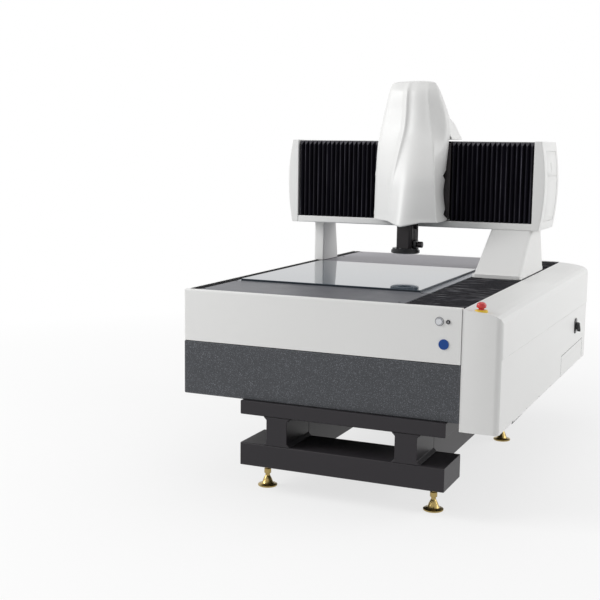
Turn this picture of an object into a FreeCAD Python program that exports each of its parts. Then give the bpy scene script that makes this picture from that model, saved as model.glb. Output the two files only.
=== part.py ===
import FreeCAD, Part
import math
import os

# Gantry vision measuring machine, in millimetres.
# X runs to the right along the front, Y away from the viewer, Z up from the floor.
# The model is built from the floor point under the granite's front left corner,
# and moved at the end so that the origin is the bottom centre of the whole machine.

Vec = FreeCAD.Vector
x_axis = Vec(1, 0, 0)
y_axis = Vec(0, 1, 0)
z_axis = Vec(0, 0, 1)

# Main body
body_length = 2212.0
granite_bottom = 433.0
granite_height = 254.0
deck_level = 931.0
granite_arris = 4.0
cover_seam = 2.0
sheet_wall = 3.0
end_cover_depth = 30.0
cover_edge_radius = 6.0
slide_gap = 0.3
shell_lap = 1.0

# Stand
stand_left = 310.0
stand_width = 983.0
stand_front_proud = 22.0
stand_length = 1567.0
stand_clearance = 126.0
stand_beam_depth = 259.0
stand_beam_height = 108.0
stand_upper_height = 65.0
upright_width = 103.0
upright_inset_left = 133.0
upright_inset_right = 126.0
upright_flare = 15.0
stand_edge = 4.0
weld_gap = 0.2

# Levelling feet
foot_inset = 82.0
foot_disc_radius = 46.0
foot_disc_height = 14.0
foot_stem_radius = 12.0
foot_hole_clearance = 0.4
lock_nut_flats = 36.0
lock_nut_height = 20.0

# Right side cover
side_cover_width = 174.0
side_cover_wall = 4.0
side_cover_proud = 4.0
side_cover_drop = 3.0
side_cover_bottom_front = 398.0
side_cover_bottom_rear = 372.0
crease_front = 722.0
crease_rear = 696.0
side_cover_nose = 8.0
side_cover_corner = 34.0
service_panel_rear_inset = 122.0
service_panel_length = 657.0
service_panel_top = 467.0
service_panel_gap = 0.8
hook_length = 60.0
hook_reach = 24.0
hook_thick = 3.0
grip_notch_count = 5
grip_notch_front = 265.0
grip_notch_rear_gap = 23.0
grip_notch_length = 26.0
grip_notch_height = 7.0

# Controls
start_button_inset = 99.0
start_button_z = 870.0
start_button_radius = 13.0
start_button_proud = 7.0
start_button_depth = 10.0
bezel_radius = 18.0
bezel_proud = 4.0
key_switch_inset = 60.0
key_switch_radius = 9.0
key_switch_depth = 14.0
key_switch_proud = 4.0
key_slot_half_width = 1.2
key_slot_half_height = 5.0
indicator_inset = 77.0
indicator_z = 772.0
indicator_radius = 22.5
indicator_thick = 3.0
control_clearance = 0.3
estop_offset = 71.0
estop_y = 38.0
estop_ring_radius = 28.0
estop_ring_top = 933.0
estop_ring_height = 16.0
estop_stem_half = 8.0
estop_stem_depth = 20.0
estop_stem_clearance = 2.4
estop_head_gap = 2.0
estop_head_radius = 21.0
estop_head_height = 20.0
estop_travel = 6.0
switch_rear_inset = 378.0
switch_z = 605.0
switch_plate_width = 64.0
switch_plate_height = 84.0
switch_plate_thick = 5.0
switch_plate_corner = 12.0
switch_body_half = 18.0
switch_body_depth = 44.0
switch_rest_turn = 40.0
switch_knob_radius = 21.0
switch_knob_depth = 16.0
switch_lever_length = 40.0
switch_lever_width = 15.0
switch_lever_sink = 4.0
switch_lever_proud = 6.0
inlet_x = 240.0
inlet_z = 790.0
inlet_width = 48.0
inlet_height = 58.0
inlet_wall = 3.0
inlet_depth = 24.0
vent_pitch = 30.0
vent_width = 10.0
vent_height = 90.0
vent_count = 6
vent_bank_places = (560.0, 960.0)

# Deck and stage
slot_left = 20.0
slot_width = 25.0
deck_plate_thick = 12.0
glass_left = 87.0
glass_front = 422.0
glass_width = 939.0
glass_length = 1035.0
glass_proud = 10.0
glass_thick = 22.0
glass_gap = 1.0
deck_margin_right = 49.0
y_slot_width = 267.0
deck_gap = 0.8
riser_depth = 44.0
riser_front = 300.0
riser_left = 62.0
riser_right_inset = 11.0
side_beam_width = 60.0
side_beam_height = 39.0

# Linear guides
rail_width = 23.0
rail_height = 22.0
rail_waist = 3.0
rail_end_inset = 60.0
block_width = 44.0
block_length = 92.0
block_height = 30.0
block_clearance = 0.4
outer_rail_inset = 44.0
inner_rail_inset = 47.0
left_rail = 32.0
motor_track_width = 64.0
motor_track_height = 10.0
magnet_height = 5.0
magnet_pitch = 180.0
motor_gap = 1.0

# Gantry
beam_left = -25.0
beam_right_inset = 9.0
beam_front = 1370.0
beam_depth = 380.0
beam_bottom = 1170.0
beam_plate_height = 36.0
beam_top = 1640.0
beam_edge = 4.0
beam_cover_radius = 26.0
core_front = 1440.0
core_depth = 250.0
core_top = 1600.0
core_rib = 30.0
core_pocket_count = 4
core_pocket_depth = 120.0
beam_cover_front = 1402.0
end_cap_width = 40.0
end_cap_bulge = 24.0
end_cap_chamfer = 6.0
cap_window_front = 1430.0
cap_window_length = 270.0
cap_window_bottom = 1215.0
cap_window_top = 1592.0
cap_window_split = 1460.0
cap_window_depth = 4.0
cap_panel_sunk = 1.5
cap_grip_inset = 113.0
cap_grip_width = 10.0
cap_grip_lift = 18.0
cap_grip_height = 54.0
leg_right_front = 1131.0
leg_right_length = 569.0
leg_right_top_front = 1376.0
leg_right_top_length = 230.0
leg_slot_gap = 16.0
leg_cover_gap = 3.0
leg_right_lean = 24.0
leg_corner = 20.0
leg_flange = 8.0
leg_flange_height = 20.0
left_leg_width = 62.0
left_leg_front = 1560.0
left_leg_length = 230.0
left_leg_top_length = 186.0
left_leg_edge = 0.5
left_leg_corner = 8.0
left_leg_lean = 40.0
blade_left = 26.0
blade_thick = 12.0
backlight_depth = 80.0
backlight_bottom = 790.0
backlight_height = 60.0
bridge_lift = 2.0

# Bellows
fold_pitch_y = 52.0
fold_depth_y = 20.0
fold_pitch_x = 60.0
fold_depth_x = 22.0
fold_skin = 1.6
bellows_gap = 0.5

# Head
head_centre = 685.0
head_wall = 5.0
head_rim_front = 1182.0
head_rim_side = 1207.0
head_rim_back = 1214.0
head_keel_half = 135.0
head_notch_depth = 22.0
head_notch_half = 17.0
head_notch_lift = 26.0
head_crown_rise = 16.0
ridge_inner_step = 20.0
ridge_inner_sink = 18.0
ridge_outer_step = 24.0
ridge_outer_sink = 10.0
head_hood_rear = 1440.0

# Head cover from below its rim to its crown: one value for each level
head_heights = (1150.0, 1450.0, 1600.0, 1700.0, 1800.0, 1804.0, 1905.0, 1950.0)
head_side_halves = (200.0, 198.0, 206.0, 203.0, 186.0, 182.0, 145.0, 122.0)
head_side_fronts = (1290.0, 1305.0, 1328.0, 1338.0, 1346.0, 1346.0, 1350.0, 1362.0)
head_ridge_halves = (135.0, 112.0, 93.0, 84.0, 74.0, 73.0, 63.0, 54.0)
head_ridge_fronts = (1222.0, 1240.0, 1286.0, 1299.0, 1304.0, 1304.0, 1306.0, 1334.0)
head_ridge_crests = (0.0, 0.0, 5.0, 10.0, 11.0, 11.0, 10.0, 3.0)
head_nose_fronts = (1055.0, 1108.0, 1188.0, 1236.0, 1262.0, 1263.0, 1284.0, 1322.0)
head_hood_halves = (200.0, 198.0, 206.0, 203.0, 186.0, 157.0, 123.0, 104.0)
head_hood_levels = 3
carriage_half_width = 195.0
carriage_front = 1374.0
carriage_bottom = 1216.0
carriage_height = 416.0
x_rail_low = 1290.0
x_rail_high = 1545.0
saddle_rear = 1580.0
saddle_clearance = 10.0
saddle_wall = 4.0
saddle_half_width = 200.0
saddle_shoulder_half = 152.0
saddle_shoulder_level = 1742.0
saddle_ridge_half = 94.0
saddle_ridge_level = 1800.0
saddle_skirt = 8.0

# Z axis and optics
z_rail_spacing = 120.0
z_rail_bottom = 1222.0
z_rail_length = 420.0
z_plate_half_width = 92.0
z_plate_thick = 22.0
z_plate_bottom = 1290.0
z_plate_height = 210.0
z_block_inset = 8.0
z_nut_half_width = 18.0
z_nut_lift = 80.0
z_nut_height = 40.0
z_nut_reach = 16.0
column_half_width = 42.0
column_front = 1180.0
column_bottom = 1052.0
column_height = 300.0
column_corner = 14.0
lens_y = 1222.0
lens_radius = 24.0
lens_bore_gap = 1.0
lens_recess = 2.0
lens_length = 290.0
ring_radius = 78.0
ring_inner_radius = 38.0
ring_height = 20.0
ring_diffuser_depth = 3.0
ring_diffuser_inner = 43.0
ring_diffuser_outer = 70.0
side_light_z = 1102.0
side_light_radius = 22.0
side_light_length = 36.0
side_bracket_offset = 6.0
side_light_offset = 16.0
side_bracket_thick = 12.0
side_bracket_width = 30.0
side_bracket_height = 28.0
side_bracket_lift = 104.0
camera_size = 40.0
camera_joint = 8.0
camera_height = 70.0
camera_groove = 2.0
motor_size = 60.0
motor_height = 90.0
motor_plate = 12.0
motor_plate_margin = 10.0
screw_radius = 8.0
screw_offset = 14.0
nut_clearance = 0.5

# Sizes that follow from those above
y_bellows_left = glass_left + glass_width + deck_margin_right
body_width = y_bellows_left + y_slot_width + cover_seam
start_button_x = body_width - start_button_inset
key_switch_x = body_width - key_switch_inset
indicator_x = body_width - indicator_inset
estop_x = body_width + estop_offset
switch_y = body_length - switch_rear_inset
service_panel_front = body_length - service_panel_rear_inset - service_panel_length
riser_right = y_bellows_left - riser_right_inset
right_rail_outer = body_width - outer_rail_inset
right_rail_inner = y_bellows_left + inner_rail_inset
beam_right = body_width - beam_right_inset
leg_right_left = y_bellows_left + leg_slot_gap
leg_right_right = body_width - leg_cover_gap
leg_right_top_left = leg_right_left + leg_right_lean
granite_top = granite_bottom + granite_height
stand_right = stand_left + stand_width
stand_front = -stand_front_proud
stand_rear_front = stand_front + stand_length - stand_beam_depth
upper_beam_bottom = granite_bottom - stand_upper_height
left_upright = stand_left + upright_inset_left
right_upright = stand_right - upright_inset_right - upright_width
side_cover_right = body_width + side_cover_width
cover_bottom = granite_top + cover_seam
glass_bottom = deck_level + glass_proud - glass_thick
deck_bottom = deck_level - deck_plate_thick
slot_right = slot_left + slot_width
deck_right = y_bellows_left - 3 * slide_gap
rear_cover_front = body_length - end_cover_depth
leg_right_rear = leg_right_front + leg_right_length
beam_rear = beam_front + beam_depth
block_lift = block_height + 4.0
block_top = granite_top + block_lift
carriage_thick = core_front - block_lift - carriage_front
head_back = carriage_front - slide_gap
lens_top = column_bottom + lens_recess + lens_length


def block(x0, x1, y0, y1, z0, z1):
    """Box between two corners."""
    return Part.makeBox(x1 - x0, y1 - y0, z1 - z0, Vec(x0, y0, z0))


def outward(solid):
    """The same solid with its faces turned outwards."""
    if solid.Volume < 0:
        solid.reverse()
    return solid


def edges_along(shape, axis, wanted=lambda middle: True):
    """Straight edges that run along one axis and whose middle is wanted."""
    found = []
    for edge in shape.Edges:
        if isinstance(edge.Curve, Part.Line):
            along = edge.tangentAt(edge.FirstParameter)
            if abs(along.dot(axis)) > 0.999 and wanted(edge.CenterOfMass):
                found.append(edge)
    return found


def rounded_block(x0, x1, y0, y1, z0, z1, radius, axis, wanted=lambda middle: True):
    """Box whose edges along one axis are rounded."""
    shape = block(x0, x1, y0, y1, z0, z1)
    return shape.makeFillet(radius, edges_along(shape, axis, wanted))


def chamfered_block(x0, x1, y0, y1, z0, z1, size, axis, wanted=lambda middle: True):
    """Box whose edges along one axis are chamfered."""
    shape = block(x0, x1, y0, y1, z0, z1)
    return shape.makeChamfer(size, edges_along(shape, axis, wanted))


def prism(points, direction):
    """Straight prism on a closed outline of points."""
    outline = Part.makePolygon(points + [points[0]])
    return outward(Part.Face(outline).extrude(direction))


def turned(profile, centre, axis):
    """Solid of revolution from (radius, height) points, set on an axis at a centre."""
    outline = [Vec(radius, 0, height) for radius, height in profile]
    shape = Part.Face(Part.makePolygon(outline + [outline[0]])).revolve(Vec(), z_axis, 360)
    shape.Placement = FreeCAD.Placement(centre, FreeCAD.Rotation(z_axis, axis))
    return outward(shape)


def cylinder(radius, length, start, axis):
    """Round bar from a start point along an axis."""
    return Part.makeCylinder(radius, length, start, axis)


def joined(shapes):
    """Fuse touching shapes into one solid with merged faces."""
    first = shapes[0]
    return first.fuse(shapes[1:]).removeSplitter()


def placed(shape, origin, along, upward):
    """Turn a shape built along X with its top up so that it lies along another direction."""
    side = upward.cross(along)
    turn = FreeCAD.Rotation(along, side, upward, "XZY")
    copy = shape.copy()
    copy.Placement = FreeCAD.Placement(origin, turn)
    return copy


def flat_facets(corners):
    """One face on four corners where they lie in one plane, otherwise two triangles."""
    a, b, c, d = corners
    normal = (b - a).cross(c - a)
    if abs(normal.dot(d - a)) < 1e-6 * max(1.0, normal.Length):
        return [Part.Face(Part.makePolygon([a, b, c, d, a]))]
    return [Part.Face(Part.makePolygon([a, b, c, a])), Part.Face(Part.makePolygon([a, c, d, a]))]


def faceted(rings, crown=None):
    """Solid with flat facets through closed outlines of as many corners each.

    The first outline is closed flat; the last one too, or by facets up to a crown point.
    """
    first = rings[0][::-1]
    faces = [Part.Face(Part.makePolygon(first + [first[0]]))]
    last = rings[-1]
    if crown is None:
        faces.append(Part.Face(Part.makePolygon(last + [last[0]])))
    else:
        for i, corner in enumerate(last):
            following = last[(i + 1) % len(last)]
            faces.append(Part.Face(Part.makePolygon([corner, following, crown, corner])))
    for low, high in zip(rings, rings[1:]):
        for i in range(len(low)):
            j = (i + 1) % len(low)
            faces += flat_facets([low[i], low[j], high[j], high[i]])
    shell = Part.Shell(faces)
    shell.sewShape()
    return outward(Part.Solid(shell))


def rectangle(x0, x1, y0, y1, z):
    """Corners of a level rectangle."""
    return [Vec(x0, y0, z), Vec(x1, y0, z), Vec(x1, y1, z), Vec(x0, y1, z)]


def leaning_block(low, high, radius):
    """Solid between two rectangles, with its four leaning edges rounded."""
    body = faceted([low, high])
    rise = high[0].z - low[0].z
    leaning = [edge for edge in body.Edges if edge.BoundBox.ZLength > rise * 0.9]
    return body.makeFillet(radius, leaning)


def stand_lower_beams():
    """Front and rear floor beams."""
    beams = []
    for front in (stand_front, stand_rear_front):
        beams.append(chamfered_block(stand_left, stand_right, front, front + stand_beam_depth,
                                     stand_clearance, stand_clearance + stand_beam_height,
                                     stand_edge, x_axis))
    return beams


def stand_upper_beams():
    """Front and rear top beams that carry the granite."""
    beams = []
    for front in (stand_front, stand_rear_front):
        beams.append(chamfered_block(stand_left, stand_right, front, front + stand_beam_depth,
                                     upper_beam_bottom, granite_bottom, stand_edge, x_axis,
                                     lambda middle: middle.z < granite_bottom - 1))
    return beams


def stand_uprights():
    """Four short posts, flared at both ends by sloping flats."""
    posts = []
    bottom = stand_clearance + stand_beam_height
    top = upper_beam_bottom
    flare = upright_flare
    for front in (stand_front, stand_rear_front):
        for left in (left_upright, right_upright):
            right = left + upright_width
            outline = [(left - flare, bottom), (right + flare, bottom), (right, bottom + flare),
                       (right, top - flare), (right + flare, top), (left - flare, top),
                       (left, top - flare), (left, bottom + flare)]
            posts.append(prism([Vec(x, front, z) for x, z in outline],
                               Vec(0, stand_beam_depth, 0)))
    return posts


def stand_side_girders():
    """Two deep girders that join the front frame to the rear frame."""
    front = stand_front + stand_beam_depth + weld_gap
    back = stand_rear_front - weld_gap
    girders = []
    for left in (left_upright, right_upright):
        girders.append(chamfered_block(left, left + upright_width, front, back, stand_clearance,
                                       granite_bottom, stand_edge, y_axis,
                                       lambda middle: middle.z < granite_bottom - 1))
    return girders


def foot_places():
    """Centres of the four feet on the floor."""
    places = []
    for front in (stand_front, stand_rear_front):
        for x in (stand_left + foot_inset, stand_right - foot_inset):
            places.append(Vec(x, front + stand_beam_depth / 2, 0))
    return places


def levelling_feet():
    """Turned brass feet: disc and stem up to the beam."""
    profile = [(0, 0), (foot_disc_radius, 0), (foot_disc_radius, foot_disc_height),
               (foot_stem_radius, foot_disc_height), (foot_stem_radius, stand_clearance),
               (0, stand_clearance)]
    return [turned(profile, place, z_axis) for place in foot_places()]


def foot_lock_nuts():
    """Hexagon nuts turned up against the beams."""
    radius = lock_nut_flats / 2 / math.cos(math.radians(30))
    corners = []
    for i in range(6):
        angle = math.radians(60 * i)
        corners.append(Vec(radius * math.cos(angle), radius * math.sin(angle), 0))
    nut = prism(corners, Vec(0, 0, lock_nut_height))
    hole_radius = foot_stem_radius + foot_hole_clearance
    nut = nut.cut(cylinder(hole_radius, lock_nut_height + 2, Vec(0, 0, -1), z_axis))
    nuts = []
    for place in foot_places():
        copy = nut.copy()
        copy.translate(place + Vec(0, 0, stand_clearance - lock_nut_height))
        nuts.append(copy)
    return nuts


def granite_base():
    """Granite block with ground arrises."""
    stone = block(0, body_width, 0, body_length, granite_bottom, granite_top)
    return stone.makeChamfer(granite_arris, stone.Edges)


def end_cover(front):
    """Folded sheet cover across the end of the deck, open towards the machine."""
    back = front + end_cover_depth
    outer_y = front if front < body_length / 2 else back
    right = body_width - cover_seam
    shell = block(0, right, front, back, cover_bottom, deck_level)
    outside = edges_along(shell, x_axis, lambda middle: abs(middle.y - outer_y) < 1
                          and middle.z > deck_level - 1)
    outside += edges_along(shell, z_axis, lambda middle: abs(middle.y - outer_y) < 1
                           and middle.x < 1)
    shell = shell.makeFillet(cover_edge_radius, outside)
    inner_front = front + sheet_wall if outer_y == front else front - 1
    inner_back = back + 1 if outer_y == front else back - sheet_wall
    hollow = block(sheet_wall, right - sheet_wall, inner_front, inner_back,
                   cover_bottom + sheet_wall, deck_level - sheet_wall)
    return shell.cut(hollow)


def front_cover():
    """Front cover with holes for the start button and the key switch."""
    cover = end_cover(0)
    for x, radius in ((start_button_x, start_button_radius), (key_switch_x, key_switch_radius)):
        cutter = cylinder(radius + control_clearance, sheet_wall + 2, Vec(x, -1, start_button_z),
                          y_axis)
        cover = cover.cut(cutter)
    return cover


def rear_cover():
    """Rear cover with two banks of ventilation slots and the hole of the mains inlet."""
    cover = end_cover(rear_cover_front)
    for bank in vent_bank_places:
        for i in range(vent_count):
            left = bank + i * vent_pitch
            cover = cover.cut(block(left, left + vent_width, rear_cover_front, body_length + 1,
                                    inlet_z - vent_height / 2, inlet_z + vent_height / 2))
    half_w, half_h = inlet_body_halves()
    return cover.cut(block(inlet_x - half_w - control_clearance, inlet_x + half_w + control_clearance,
                           rear_cover_front, body_length + 1, inlet_z - half_h - control_clearance,
                           inlet_z + half_h + control_clearance))


def inlet_body_halves():
    """Half width and half height of the inlet's body behind its flange."""
    return inlet_width / 2 - 2 * inlet_wall, inlet_height / 2 - 4 * inlet_wall


def left_side_cover():
    """Narrow folded strip along the left edge of the deck."""
    front = end_cover_depth + cover_seam
    back = rear_cover_front - cover_seam
    strip = rounded_block(0, slot_left, front, back, granite_top, deck_level,
                          cover_edge_radius, y_axis,
                          lambda middle: middle.x < 1 and middle.z > deck_level - 1)
    hollow = block(sheet_wall, slot_left + 1, front - 1, back + 1,
                   granite_top - 1, deck_level - sheet_wall)
    return strip.cut(hollow)


def side_shoulder(left, inset):
    """Top of the side cover seen along Y, from its inner edge to its outer wall."""
    right = side_cover_right - inset
    top = deck_level - side_cover_drop - inset
    return [(left, top), (body_width + 85, top - 9), (right - 58, top - 14), (right - 28, top - 22),
            (right - 11, top - 33), (right - 2, top - 50)]


def side_section(y, crease, bottom, inset, drop):
    """Closed outline of the right side cover across Y, offset inwards by inset."""
    left = body_width + slide_gap - (20 if inset else 0)
    right = side_cover_right - inset
    outline = side_shoulder(left, inset) + [
        (right, crease + side_cover_proud),
        (right - side_cover_proud, crease - side_cover_proud),
        (right - side_cover_proud, bottom - drop),
        (left, bottom - drop),
    ]
    points = [Vec(x, y, z) for x, z in outline]
    return Part.makePolygon(points + [points[0]])


def side_plan(inset):
    """Outline of the side cover from above: bowed ends and rounded outer corners."""
    left = body_width + slide_gap - (20 if inset else 0)
    right = side_cover_right + 1 - inset
    near = inset
    far = body_length - inset
    corner = side_cover_corner - inset
    nose = side_cover_nose
    turn = corner * (1 - math.sqrt(0.5))
    front_arc = Part.Arc(Vec(left, near + nose * 0.4, 0),
                         Vec((left + right) / 2, near, 0),
                         Vec(right - corner, near + nose * 0.4, 0))
    front_corner = Part.Arc(Vec(right - corner, near + nose * 0.4, 0),
                            Vec(right - turn, near + nose * 0.4 + turn, 0),
                            Vec(right, near + nose * 0.4 + corner, 0))
    rear_corner = Part.Arc(Vec(right, far - nose * 0.4 - corner, 0),
                           Vec(right - turn, far - nose * 0.4 - turn, 0),
                           Vec(right - corner, far - nose * 0.4, 0))
    rear_arc = Part.Arc(Vec(right - corner, far - nose * 0.4, 0),
                        Vec((left + right) / 2, far, 0),
                        Vec(left, far - nose * 0.4, 0))
    side = Part.LineSegment(front_corner.EndPoint, rear_corner.StartPoint)
    close = Part.LineSegment(rear_arc.EndPoint, front_arc.StartPoint)
    edges = [arc.toShape() for arc in (front_arc, front_corner, side, rear_corner,
                                       rear_arc, close)]
    return Part.Wire(edges)


def side_cover_solid(inset, drop):
    """Moulded side cover as a full form: two sections lofted, trimmed by its plan."""
    sections = [side_section(-1, crease_front, side_cover_bottom_front, inset, drop),
                side_section(body_length + 1, crease_rear, side_cover_bottom_rear, inset, drop)]
    form = outward(Part.makeLoft(sections, True, True))
    plan = outward(Part.Face(side_plan(inset)).extrude(Vec(0, 0, deck_level + 100)))
    return form.common(plan)


def side_cover_parts():
    """Right side cover and the service panel cut from the same shell."""
    shell = side_cover_solid(0, 0).cut(side_cover_solid(side_cover_wall, 60))
    wall_zone = (side_cover_right - side_cover_proud - side_cover_wall - 2, side_cover_right + 5)
    rear = service_panel_front + service_panel_length
    opening = block(wall_zone[0], wall_zone[1], service_panel_front, rear,
                    side_cover_bottom_rear - 5, service_panel_top)
    gap = service_panel_gap
    panel_zone = block(wall_zone[0], wall_zone[1], service_panel_front + gap, rear - gap,
                       side_cover_bottom_rear - 5, service_panel_top - gap)
    panel = shell.common(panel_zone)
    inner_x = side_cover_right - side_cover_proud - side_cover_wall
    hooks = []
    for share in (0.1, 0.9):
        start = service_panel_front + service_panel_length * share - hook_length / 2
        rise = block(inner_x - slide_gap - hook_thick, inner_x - slide_gap, start,
                     start + hook_length, service_panel_top - hook_reach,
                     service_panel_top + hook_reach)
        root = block(inner_x - slide_gap - hook_thick, inner_x + 1, start, start + hook_length,
                     service_panel_top - hook_reach, service_panel_top - 6)
        hooks += [rise, root]
    panel = joined([panel] + hooks)
    shell = shell.cut(opening)
    hole_half = estop_stem_half + estop_stem_clearance
    ring_hole = block(estop_x - hole_half, estop_x + hole_half, estop_y - hole_half,
                      estop_y + hole_half, deck_level - 40, deck_level + 20)
    shell = shell.cut(ring_hole)
    body_half = switch_body_half + control_clearance
    shell = shell.cut(block(wall_zone[0], wall_zone[1], switch_y - body_half, switch_y + body_half,
                            switch_z - body_half, switch_z + body_half))
    last_notch = service_panel_front - grip_notch_rear_gap
    pitch = (last_notch - grip_notch_front) / (grip_notch_count - 1)
    for i in range(grip_notch_count):
        y = grip_notch_front + i * pitch
        low = side_cover_bottom_front + (side_cover_bottom_rear - side_cover_bottom_front) \
            * y / body_length
        shell = shell.cut(block(wall_zone[0], wall_zone[1], y, y + grip_notch_length,
                                low - 5, low + grip_notch_height))
    return shell, panel


def deck_front_plate():
    """Satin plate between the front cover and the glass."""
    return block(slot_right, deck_right, end_cover_depth + deck_gap,
                 glass_front - glass_gap, deck_bottom, deck_level)


def deck_rear_plate():
    """Plate behind the glass."""
    front = glass_front + glass_length + glass_gap
    return block(slot_right, deck_right, front, rear_cover_front - deck_gap, deck_bottom,
                 deck_level)


def deck_side_strips():
    """Light strips on both sides of the glass."""
    front = glass_front + deck_gap
    back = glass_front + glass_length - deck_gap
    left = block(slot_right, glass_left - glass_gap, front, back, deck_bottom, deck_level)
    right = block(glass_left + glass_width + glass_gap, deck_right, front, back,
                  deck_bottom, deck_level)
    return [left, right]


def stage_risers():
    """Two walls on the granite that carry the stage."""
    walls = []
    for front in (riser_front, riser_rear()):
        walls.append(block(riser_left, riser_right, front, front + riser_depth,
                           granite_top, deck_bottom))
    return walls


def riser_rear():
    """Front face of the rear riser, as far behind the glass as the other is before it."""
    return 2 * glass_front + glass_length - riser_front - riser_depth


def stage_side_beams():
    """Two beams between the risers, under the long edges of the glass."""
    front = riser_front + riser_depth + weld_gap
    back = riser_rear() - weld_gap
    beams = []
    for left in (riser_left, riser_right - side_beam_width):
        beams.append(block(left, left + side_beam_width, front, back,
                           deck_bottom - side_beam_height, deck_bottom))
    return beams


def stage_glass():
    """Thick glass plate with a ground upper arris."""
    glass = block(glass_left, glass_left + glass_width, glass_front,
                  glass_front + glass_length, glass_bottom, glass_bottom + glass_thick)
    top = [edge for edge in glass.Edges if edge.CenterOfMass.z > deck_level + glass_proud - 0.1]
    return glass.makeChamfer(1.5, top)


def rail(length):
    """Linear guide rail along X with waisted sides."""
    half = rail_width / 2
    waist = half - rail_waist
    points = [(-half, 0), (half, 0), (half, 6), (waist, 9), (waist, 13), (half, 16),
              (half, rail_height), (-half, rail_height), (-half, 16), (-waist, 13),
              (-waist, 9), (-half, 6)]
    return prism([Vec(0, y, z) for y, z in points], Vec(length, 0, 0))


def rail_block():
    """Carriage that wraps over a rail, along X, with its top at block_lift."""
    half = block_width / 2
    inner = rail_width / 2 + block_clearance
    roof = rail_height + block_clearance
    points = [(-half, 4), (-inner, 4), (-inner, roof), (inner, roof), (inner, 4), (half, 4),
              (half, block_lift), (-half, block_lift)]
    return prism([Vec(0, y, z) for y, z in points], Vec(block_length, 0, 0))


def y_rails():
    """Two rails under the right bellows and one under the left slot."""
    length = body_length - 2 * rail_end_inset
    rails = []
    for x in (left_rail, right_rail_inner, right_rail_outer):
        rails.append(placed(rail(length), Vec(x, rail_end_inset, granite_top), y_axis, z_axis))
    return rails


def motor_track(length):
    """Magnet track of a linear motor along X, with raised magnets."""
    base = block(0, length, -motor_track_width / 2, motor_track_width / 2, 0, motor_track_height)
    count = int(length / magnet_pitch)
    pitch = length / count
    magnets = []
    for i in range(count):
        start = i * pitch + pitch * 0.2
        magnets.append(block(start, start + pitch * 0.6, -motor_track_width * 0.35,
                             motor_track_width * 0.35, motor_track_height - 0.5,
                             motor_track_height + magnet_height))
    return joined([base] + magnets)


def y_motor_track():
    """Magnet track on the granite between the right rails."""
    length = body_length - 2 * rail_end_inset
    middle = (right_rail_inner + right_rail_outer) / 2
    return placed(motor_track(length), Vec(middle, rail_end_inset, granite_top), y_axis, z_axis)


def fold_outline(length, pitch_wanted, depth):
    """Zigzag band: distance along the bellows and height below its crests."""
    count = max(2, round(length / pitch_wanted))
    half_pitch = length / count / 2
    crest = []
    for i in range(2 * count + 1):
        crest.append((i * half_pitch, -depth if i % 2 == 0 else 0.0))
    under = [(s, d - fold_skin) for s, d in reversed(crest)]
    return crest + under


def y_bellows(front, back):
    """Bellows at deck level over the right slot."""
    left = y_bellows_left
    width = body_width - cover_seam - left
    points = []
    for s, d in fold_outline(back - front, fold_pitch_y, fold_depth_y):
        points.append(Vec(left, front + s, deck_level - 1 + d))
    return prism(points, Vec(width, 0, 0))


def y_bellows_front():
    """Bellows from the front cover to the gantry."""
    return y_bellows(end_cover_depth + bellows_gap, leg_right_front - leg_flange - bellows_gap)


def y_bellows_rear():
    """Bellows from the gantry to the rear cover."""
    return y_bellows(leg_right_rear + leg_flange + bellows_gap, rear_cover_front - bellows_gap)


def estop_base():
    """Yellow ring of the emergency stop, fitted to the slope of the side cover."""
    low = estop_ring_top - estop_ring_height
    ring = cylinder(estop_ring_radius, estop_ring_height, Vec(estop_x, estop_y, low), z_axis)
    half = estop_stem_half + control_clearance
    passage = block(estop_x - half, estop_x + half, estop_y - half, estop_y + half, low - 1,
                    estop_ring_top + 1)
    seat = [Vec(x, estop_y - estop_ring_radius - 1, z + slide_gap)
            for x, z in side_shoulder(body_width, 0)]
    floor = seat[-1].z - 1
    seat += [Vec(seat[-1].x, seat[0].y, floor), Vec(seat[0].x, seat[0].y, floor)]
    slope = prism(seat, Vec(0, 2 * estop_ring_radius + 2, 0))
    return ring.cut(passage).cut(slope)


def estop_button():
    """Red mushroom on its square guided stem."""
    under = estop_ring_top + estop_travel + estop_head_gap
    half = estop_stem_half
    stem = block(estop_x - half, estop_x + half, estop_y - half, estop_y + half,
                 estop_ring_top - estop_stem_depth, under + 1)
    head = cylinder(estop_head_radius, estop_head_height, Vec(estop_x, estop_y, under), z_axis)
    return joined([stem, head])


def button_bezel():
    """Silver ring around the start button, on the face of the front cover."""
    inner = start_button_radius + control_clearance
    profile = [(inner, 0), (bezel_radius, 0), (bezel_radius, bezel_proud), (inner, bezel_proud)]
    return turned(profile, Vec(start_button_x, 0, start_button_z), -y_axis)


def start_button():
    """Silver push button in its bezel."""
    return cylinder(start_button_radius, start_button_depth + start_button_proud,
                    Vec(start_button_x, start_button_depth, start_button_z), -y_axis)


def key_switch():
    """Small black lock barrel with a key slot in its face."""
    lock = cylinder(key_switch_radius, key_switch_depth + key_switch_proud,
                    Vec(key_switch_x, key_switch_depth, start_button_z), -y_axis)
    slot = block(key_switch_x - key_slot_half_width, key_switch_x + key_slot_half_width,
                 -key_switch_proud - 1, -1, start_button_z - key_slot_half_height,
                 start_button_z + key_slot_half_height)
    return lock.cut(slot)


def indicator_disc():
    """Plain round blue lens on the face of the front cover."""
    return cylinder(indicator_radius, indicator_thick, Vec(indicator_x, 0, indicator_z), -y_axis)


def switch_face():
    """Distance in X of the plane that the main switch sits on."""
    return side_cover_right - side_cover_proud


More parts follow.
